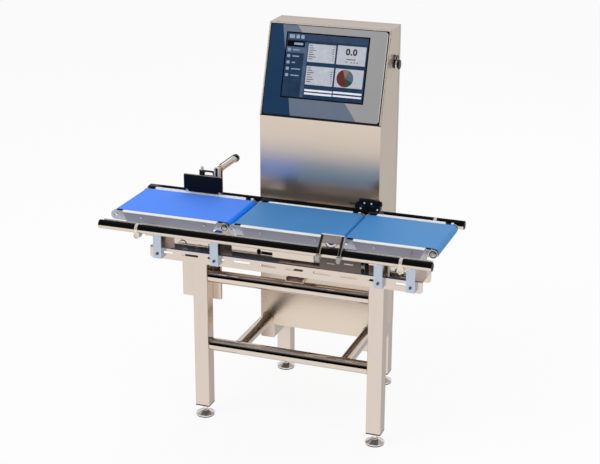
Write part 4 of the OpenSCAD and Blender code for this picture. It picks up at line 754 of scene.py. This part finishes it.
class CHECKWEIGHER_OT_sensor(bpy.types.Operator):
    """Adds the photo sensor's lid, screws, windows and plugs"""
    bl_idname = "checkweigher.sensor"
    bl_label = "Photo sensor"

    def execute(self, context):
        tone = context.scene.checkweigher_colours
        lid = [block((254, 19.5, 921), (334, 40.5, 929), 1.6),
               turned((339, 26, 914), RIGHT, 5.5, 7, ((0.6, 0.4), (1.6, 0), (0.3, -1.2))),
               turned((333, 26, 923), RIGHT, 4.6, 12, ((0.6, 0.4), (1.4, 0), (0.3, -1.2)))]
        assemble("sensor_lid", lid, "stand", moulded_plastic("black sensor lid", tone.black, 0.24, 0.36, shine=0.3))
        screw = turned((278, 18, 917.5), FRONT, 3.2, 1.4, ((0.6, 0.3), (1.1, 0), (0.2, -0.8)), 24)
        screws = repeat(screw, [shift(28), shift(-15, 0, -23), shift(52, 0, -22)])
        assemble("sensor_screws", screws, "stand", blasted_steel("small steel screw", "#F2EEEA", 0.15))
        windows = [turned((266, 18, 905), FRONT, 6, 1.6, ((0.8, 0.4), (0.8, -0.6), (2, 0.5)), 32),
                   turned((311.5, 18, 908), FRONT, 4.4, 1.2, ((0.8, 0.3),), 32)]
        assemble("sensor_windows", windows, "stand", tinted_lens("tinted polycarbonate lens", "#10294C"))
        return {"FINISHED"}


class CHECKWEIGHER_OT_pusher(bpy.types.Operator):
    """Finishes the pusher, its cylinder and its support, and adds their screws, rail and trim"""
    bl_idname = "checkweigher.pusher"
    bl_label = "Pusher"

    def execute(self, context):
        tone = context.scene.checkweigher_colours
        finish(["pusher_cylinder"], polished_steel("drawn stainless cylinder", tone.stainless))
        finish(["pusher_support"], polished_steel("stainless pusher steel", "#CDC4BC", 0.12, 0.2))
        # The yoke's front, within the limits given, is painted black: painted shade.
        finish(["pusher_yoke"], painted_shade_front("yoke with painted shade front", "#E2D2C4", tone.strip, FRONT, (
            ("X", -346, "LESS"), ("Z", 940, "GREATER"), ("Z", 976.6, "LESS"))))
        finish(["pusher_rod"], polished_steel("chromed piston rod", "#D8D6D4", 0.04, 0.08))
        # The pad's faces that look up are painted pale grey: painted highlight.
        finish(["pusher_pad"], moulded_plastic("black polyethylene pad", tone.pad, 0.5, 0.62, shine=0.15,
                                               painted_top_highlight="#77787A"))
        head = context.scene.checkweigher_sizes.screw_head / MM / 2
        screw = turned((-460, 5, 889), FRONT, head, 2.2, ((1.0, 0.8), (1.2, 0), (0.3, -1.4)), 32)
        assemble("pad_screws", repeat(screw, [shift(142)]), "pusher",
                 blasted_steel("button-head screw", "#F4EEE8", 0.2))
        rail = block(CYLINDER + Vector((-4.5, 0, 11.6)), CYLINDER + Vector((2.5, 128, 13.2)), 0.5)
        assemble("cylinder_rail", [rail], "stand", machined_metal("anodised sensor rail", tone.ledge, bare=0.3))
        black = moulded_plastic("black cylinder trim", tone.black, 0.25, 0.35)
        trim = [block(CYLINDER + Vector((-10.4, 0, 7.4)), CYLINDER + Vector((-4.6, 130, 13.6)), 0.6),
                turned(CYLINDER + Vector((0, 135, 0)), (0, 1, 0), 16.6, 11, ((0.6, 0.3), (3, 0)))]
        assemble("cylinder_trim", trim, "stand", black)
        assemble("fork_insert", [block((-338.2, 9.8, 958.4), (-328.8, 12.6, 991), 0.5)], "pusher", black)
        return {"FINISHED"}


class CHECKWEIGHER_OT_column(bpy.types.Operator):
    """Finishes the control column, its door and its push button"""
    bl_idname = "checkweigher.column"
    bl_label = "Column"

    def execute(self, context):
        tone = context.scene.checkweigher_colours
        # The factor 0.6 for the tops paints the column's and the door's tops darker: painted shade.
        finish(["column_shell", "rear_door"], ground_stainless("ground stainless sheet", tone.sheet, "X", 0.25, 0.27,
                                                               relief=0.0, top_shade=0.6, bare=0.9))
        finish(["column_seals"], rubber("foamed seal", tone.black))
        finish(["door_hinges", "door_lock"], polished_steel("cast stainless fitting", tone.stainless, 0.12, 0.22))
        finish(["control_plate"], powder_coat("grey module housing", "#B4B6B8"))
        finish(["button_collar"], polished_steel("blackened collar", "#3A3634", 0.14, 0.24))
        black = moulded_plastic("black button head", tone.black, 0.14, 0.22)
        finish(["button_head"], black)
        self.collar("button_sleeve", BUTTON, 16.4, 6.8, 1.3, 0.4, black, "black_plastic")
        self.collar("button_ring", BUTTON + Vector((6.9, 0, 0)), 17.4, 5.7, 2.3, 0.7,
                    machined_metal("chromed button ring", tone.ledge, 0.12, 0.2, bare=0.5), "stainless_polished")
        cap = turned(BUTTON + Vector((17.4, 0, 0)), RIGHT, 19, 4.4, ((1.4, 0.7), (4, 0.5), (5, 0.3)), 64)
        assemble("button_cap", [cap], "push_button", black)
        return {"FINISHED"}

    def collar(self, name, at, radius, depth, wall, ease, made, slot):
        """An open ring round the button's axis: a tube that is thickened inwards, its four rims eased."""
        ring = primitive("cylinder", vertices=64, radius=radius * MM, depth=depth * MM, end_fill_type="NOTHING",
                         location=(at + Vector((depth / 2, 0, 0))) * MM, rotation=(0, math.pi / 2, 0))
        bpy.ops.object.modifier_add(type="SOLIDIFY")
        ring.modifiers[0].thickness = wall * MM
        ring.modifiers[0].offset = -1
        bpy.ops.object.modifier_apply(modifier=ring.modifiers[0].name)
        edit(ring, edges=lambda e: e.calc_face_angle() > 1)
        bpy.ops.mesh.bevel(offset=ease * MM, segments=2, affect="EDGES")
        assemble(name, [ring], "stand", made)


class CHECKWEIGHER_OT_panel(bpy.types.Operator):
    """Prints the operator panel's film and lights its display"""
    bl_idname = "checkweigher.panel"
    bl_label = "Operator panel"

    def execute(self, context):
        tone = context.scene.checkweigher_colours
        rise = context.scene.checkweigher_sizes.tile_rise / MM
        finish(["panel_overlay"], printed_film("printed polyester film", tone.overlay_navy, tone.overlay_slate,
                                               tone.overlay_grey))
        finish(["touch_screen"], display_glass("display glass", tone.screen, "#33435C", "#46566F", "#4B5A70"))
        bars = display_light("lit display bar", "#CFD2DA")
        ink = display_light("display ink", "#23262E", 0.05)
        tiles = [panel_plate(*box, DISPLAY_OUT, rise, 1.2) for box in (
            (173, 286, 225, 296), (293, 410, 224.5, 298.5), (174, 287, 136, 209), (294, 409, 136, 209))]
        assemble("display_tiles", tiles, "stand", display_light("lit display field", tone.tile))
        strips = [panel_plate(*box, DISPLAY_OUT, rise, 0.8) for box in (
            (175, 289, 110, 118), (175, 289, 97, 105), (293, 410, 111, 119), (293, 410, 98, 105))]
        assemble("display_bars", strips, "stand", bars)
        self.lists(context.scene.checkweigher_sizes.rows, rise, ink)
        self.menu(rise)
        self.reading(rise, ink)
        self.chart(rise, 335.5, 172)
        trim = [panel_plate(*box, 0.1, 2.6, 0.8) for box in (
            (0.4, 5.6, 3, 368), (494.4, 499.6, 3, 368), (0.4, 499.6, 366.6, 371.4))]
        assemble("panel_trim", trim, "stand", machined_metal("folded sheet edge", "#EADCCD", bare=0.35))
        return {"FINISHED"}

    def lists(self, rows, rise, ink):
        """Rows of the two lists: a bar for each entry and a short one for its value."""
        marks = []
        for left, low, high in ((177, 230, 290), (178, 141, 203)):
            right = left + 104
            for i in range(rows):
                t = high - (high - low) * i / rows
                for s0, s1 in ((left, left + 14 + (i * 7) % 19), (right - 4 - (i * 5) % 6, right)):
                    marks.append(panel_plate(s0, s1, t - 3, t - 0.6, DISPLAY_OUT + rise, rise, 0.5))
        assemble("display_rows", marks, "stand", ink)

    def menu(self, rise):
        """Rows of the menu: a rounded sign and a bar; and the signs of the head band."""
        marks = []
        for i, wide in enumerate((26, 28, 14, 38, 34)):
            t = 267.5 - 25 * i
            marks += [panel_plate(88, 101, t - 6, t + 6, DISPLAY_OUT, rise, 3.5),
                      panel_plate(110, 110 + wide, t - 2.2, t + 2.2, DISPLAY_OUT, rise, 1.0)]
        for box in ((90, 112, 312, 327), (118, 132, 312, 327), (138, 152, 312, 327), (112, 150, 287, 296)):
            marks.append(panel_plate(*box, DISPLAY_OUT, rise, 3.0))
        assemble("display_menu", marks, "stand", display_light("lit menu sign", "#8294AA", 0.2))

    def reading(self, rise, ink):
        """The weight reading and a row of dots below it."""
        out = DISPLAY_OUT + rise
        begin()
        bpy.ops.object.text_add(location=on_panel(351, 274, out), rotation=(math.pi / 2 - PANEL_TILT, 0, 0))
        words = bpy.context.object.data
        words.body = "0.0"
        words.size = 34 * MM
        words.space_character = 1.12
        words.align_x = words.align_y = "CENTER"
        words.extrude = rise * MM / 2
        words.offset = 1.3 * MM
        bpy.ops.object.convert(target="MESH")
        parts = [bpy.context.object]
        parts += [panel_plate(s - 2.4, s + 2.4, 233, 237.6, out, rise, 1.6) for s in (333, 355, 366, 378)]
        parts.append(panel_plate(333, 370, 245, 248, out, rise, 0.8))
        assemble("display_reading", parts, "stand", ink)

    def chart(self, rise, s, t):
        """Round share chart: a cylinder at its size and place, its front edge eased."""
        disc = primitive("cylinder", vertices=72, radius=34 * MM, depth=rise * MM,
                         location=on_panel(s, t, DISPLAY_OUT + rise * 1.5), rotation=(math.pi / 2 - PANEL_TILT, 0, 0))
        edit(disc, faces=lambda f: f.normal.z > 0.9)
        bpy.ops.mesh.inset(thickness=1.5 * MM, depth=rise * 0.3 * MM)
        assemble("display_chart", [disc], "stand", share_chart("lit share chart", s, t))


class CHECKWEIGHER_OT_stage(bpy.types.Operator):
    """Sets up the pale floor, the soft studio light and the camera"""
    bl_idname = "checkweigher.stage"
    bl_label = "Stage"

    def execute(self, context):
        self.floor()
        self.world(context)
        self.lamps()
        self.camera(context)
        context.scene.view_settings.view_transform = "Standard"
        return {"FINISHED"}

    def floor(self):
        """A matt white floor that the camera, metal and glass see nearly white, with the object's soft shadow."""
        floor = primitive("plane", size=60, location=(0, 0, 0))
        floor.name = floor.data.name = "studio_floor"
        kit = made, tree, _ = material("matt white studio floor")
        surface(kit, (0.86, 0.86, 0.86), (900, 2), (0.98, 1.0), None, Roughness=0.9)
        path = add(tree, "LightPath").outputs
        seen = add(tree, "Math", {0: path["Is Camera Ray"], 1: path["Is Glossy Ray"]}, operation="MAXIMUM").outputs[0]
        seen = add(tree, "Math", {0: seen, 1: path["Is Transmission Ray"]}, operation="MAXIMUM").outputs[0]
        part = add(tree, "Math", {0: seen, 1: 0.88}, operation="MULTIPLY").outputs[0]
        glow = add(tree, "Emission", {"Color": (1, 1, 1, 1), "Strength": 1.0})
        mixed = add(tree, "MixShader", {0: part, 1: tree.nodes["Principled BSDF"].outputs[0], 2: glow.outputs[0]})
        feed(tree, tree.nodes["Material Output"], {"Surface": mixed.outputs[0]})
        floor.data.materials.append(made)
        floor.visible_glossy = False

    def world(self, context):
        """White all round for the camera. Metal sees the white floor below and a dark studio above the front
        horizon that turns grey overhead and white low at the back."""
        world = context.scene.world = bpy.data.worlds.new("studio_world")
        world.use_nodes = True
        tree = world.node_tree
        way = add(tree, "TexCoord").outputs["Generated"]
        towards = (math.sin(CAMERA_YAW), -math.cos(CAMERA_YAW), 0)
        front = add(tree, "VectorMath", {0: way, 1: towards}, operation="DOT_PRODUCT").outputs["Value"]
        high = add(tree, "SeparateXYZ", {0: way}).outputs["Z"]
        turn = add(tree, "Math", {0: high, 1: front}, operation="ARCTAN2").outputs[0]
        above = add(tree, "MapRange", {"Value": turn, "From Min": 0.0, "From Max": math.pi}).outputs["Result"]
        sky = add(tree, "ValToRGB", {"Fac": above}, (
            (0.0, 0.0), (0.19, 0.002), (0.28, 0.06), (0.37, 0.34), (0.44, 0.55), (0.62, 0.36), (0.78, 0.45),
            (0.87, 0.85), (1.0, 1.0))).outputs["Color"]
        back = add(tree, "SeparateXYZ", {0: way}).outputs["Y"]
        back = add(tree, "MapRange", {"Value": back, "From Min": -0.5, "From Max": 0.6}).outputs["Result"]
        ground = add(tree, "ValToRGB", {"Fac": back}, ((0.0, 1.0), (0.45, 0.95), (1.0, 0.56))).outputs["Color"]
        tipped = add(tree, "Math", {0: front, 1: 0.16, 2: high}, operation="MULTIPLY_ADD").outputs[0]
        below = add(tree, "Math", {0: tipped, 1: 0.0}, operation="LESS_THAN").outputs[0]
        room = rgb(tree, (below, sky, ground))
        path = add(tree, "LightPath").outputs
        light = tree.nodes["Background"]
        feed(tree, light, {"Color": (1, 1, 1, 1), "Strength": 0.72})
        metal = add(tree, "Background", {"Color": room, "Strength": 1.0})
        paper = add(tree, "Background", {"Color": (1, 1, 1, 1), "Strength": 1.0})
        one = add(tree, "MixShader", {0: path["Is Glossy Ray"], 1: light.outputs[0], 2: metal.outputs[0]})
        clear = add(tree, "Math", {0: path["Is Camera Ray"], 1: path["Is Transmission Ray"]},
                    operation="MAXIMUM").outputs[0]
        two = add(tree, "MixShader", {0: clear, 1: one.outputs[0], 2: paper.outputs[0]})
        feed(tree, tree.nodes["World Output"], {"Surface": two.outputs[0]})

    def lamps(self):
        """Three large soft boxes, at the left front, the right front and the back."""
        for name, spot, power in (("key_softbox", (-2.6, -3.6, 4.6), 95), ("fill_softbox", (3.4, -2.6, 3.2), 30),
                                  ("back_softbox", (0.5, 4.0, 4.2), 45)):
            begin()
            aim = Vector((0, 0, 0.85)) - Vector(spot)
            bpy.ops.object.light_add(type="AREA", location=spot, rotation=aim.to_track_quat("-Z", "Y").to_euler())
            lamp = bpy.context.object
            lamp.name = lamp.data.name = name
            lamp.data.size = 3.0
            lamp.data.energy = power
            lamp.visible_glossy = False

    def camera(self, context):
        """The photograph's viewpoint: about 5.6 m in front, 20 degrees to the right and 20 degrees down."""
        pitch, roll = 0.345747, 0.003905
        focal_pixels, image_width, sensor = 1448.19, 600, 36.0
        begin()
        bpy.ops.object.camera_add(location=(1.8409, -5.0204, 2.6964))
        eye = bpy.context.object
        eye.name = eye.data.name = "photo_camera"
        turn = Matrix.Rotation(CAMERA_YAW, 3, "Z") @ Matrix.Rotation(math.pi / 2 - pitch, 3, "X")
        eye.rotation_euler = (turn @ Matrix.Rotation(roll, 3, "Z")).to_euler()
        eye.data.sensor_fit = "HORIZONTAL"
        eye.data.sensor_width = sensor
        eye.data.lens = focal_pixels * sensor / image_width
        eye.data.clip_end = 200
        context.scene.camera = eye


class CHECKWEIGHER_PT_panel(bpy.types.Panel):
    """Lists the checkweigher's steps, colours and sizes"""
    bl_label = "Checkweigher"
    bl_idname = "CHECKWEIGHER_PT_panel"
    bl_space_type = "VIEW_3D"
    bl_region_type = "UI"
    bl_category = "Checkweigher"

    def draw(self, context):
        for step in STEPS:
            self.layout.operator(step.bl_idname)
        for group in (context.scene.checkweigher_colours, context.scene.checkweigher_sizes):
            for name in group.bl_rna.properties.keys():
                if name not in ("rna_type", "name"):
                    self.layout.prop(group, name)


STEPS = (CHECKWEIGHER_OT_stage, CHECKWEIGHER_OT_stand, CHECKWEIGHER_OT_welds, CHECKWEIGHER_OT_conveyors,
         CHECKWEIGHER_OT_bearing_ends, CHECKWEIGHER_OT_ledge_pads, CHECKWEIGHER_OT_rails,
         CHECKWEIGHER_OT_rail_fittings, CHECKWEIGHER_OT_sensor, CHECKWEIGHER_OT_pusher, CHECKWEIGHER_OT_column,
         CHECKWEIGHER_OT_panel)
CLASSES = (CheckweigherColours, CheckweigherSizes) + STEPS + (CHECKWEIGHER_PT_panel,)


def register():
    for one in CLASSES:
        bpy.utils.register_class(one)
    bpy.types.Scene.checkweigher_colours = PointerProperty(type=CheckweigherColours)
    bpy.types.Scene.checkweigher_sizes = PointerProperty(type=CheckweigherSizes)


def unregister():
    del bpy.types.Scene.checkweigher_sizes
    del bpy.types.Scene.checkweigher_colours
    for one in reversed(CLASSES):
        bpy.utils.unregister_class(one)


def main():
    register()
    for step in STEPS:
        group, name = step.bl_idname.split(".")
        getattr(getattr(bpy.ops, group), name)()


if __name__ == "__main__":
    main()
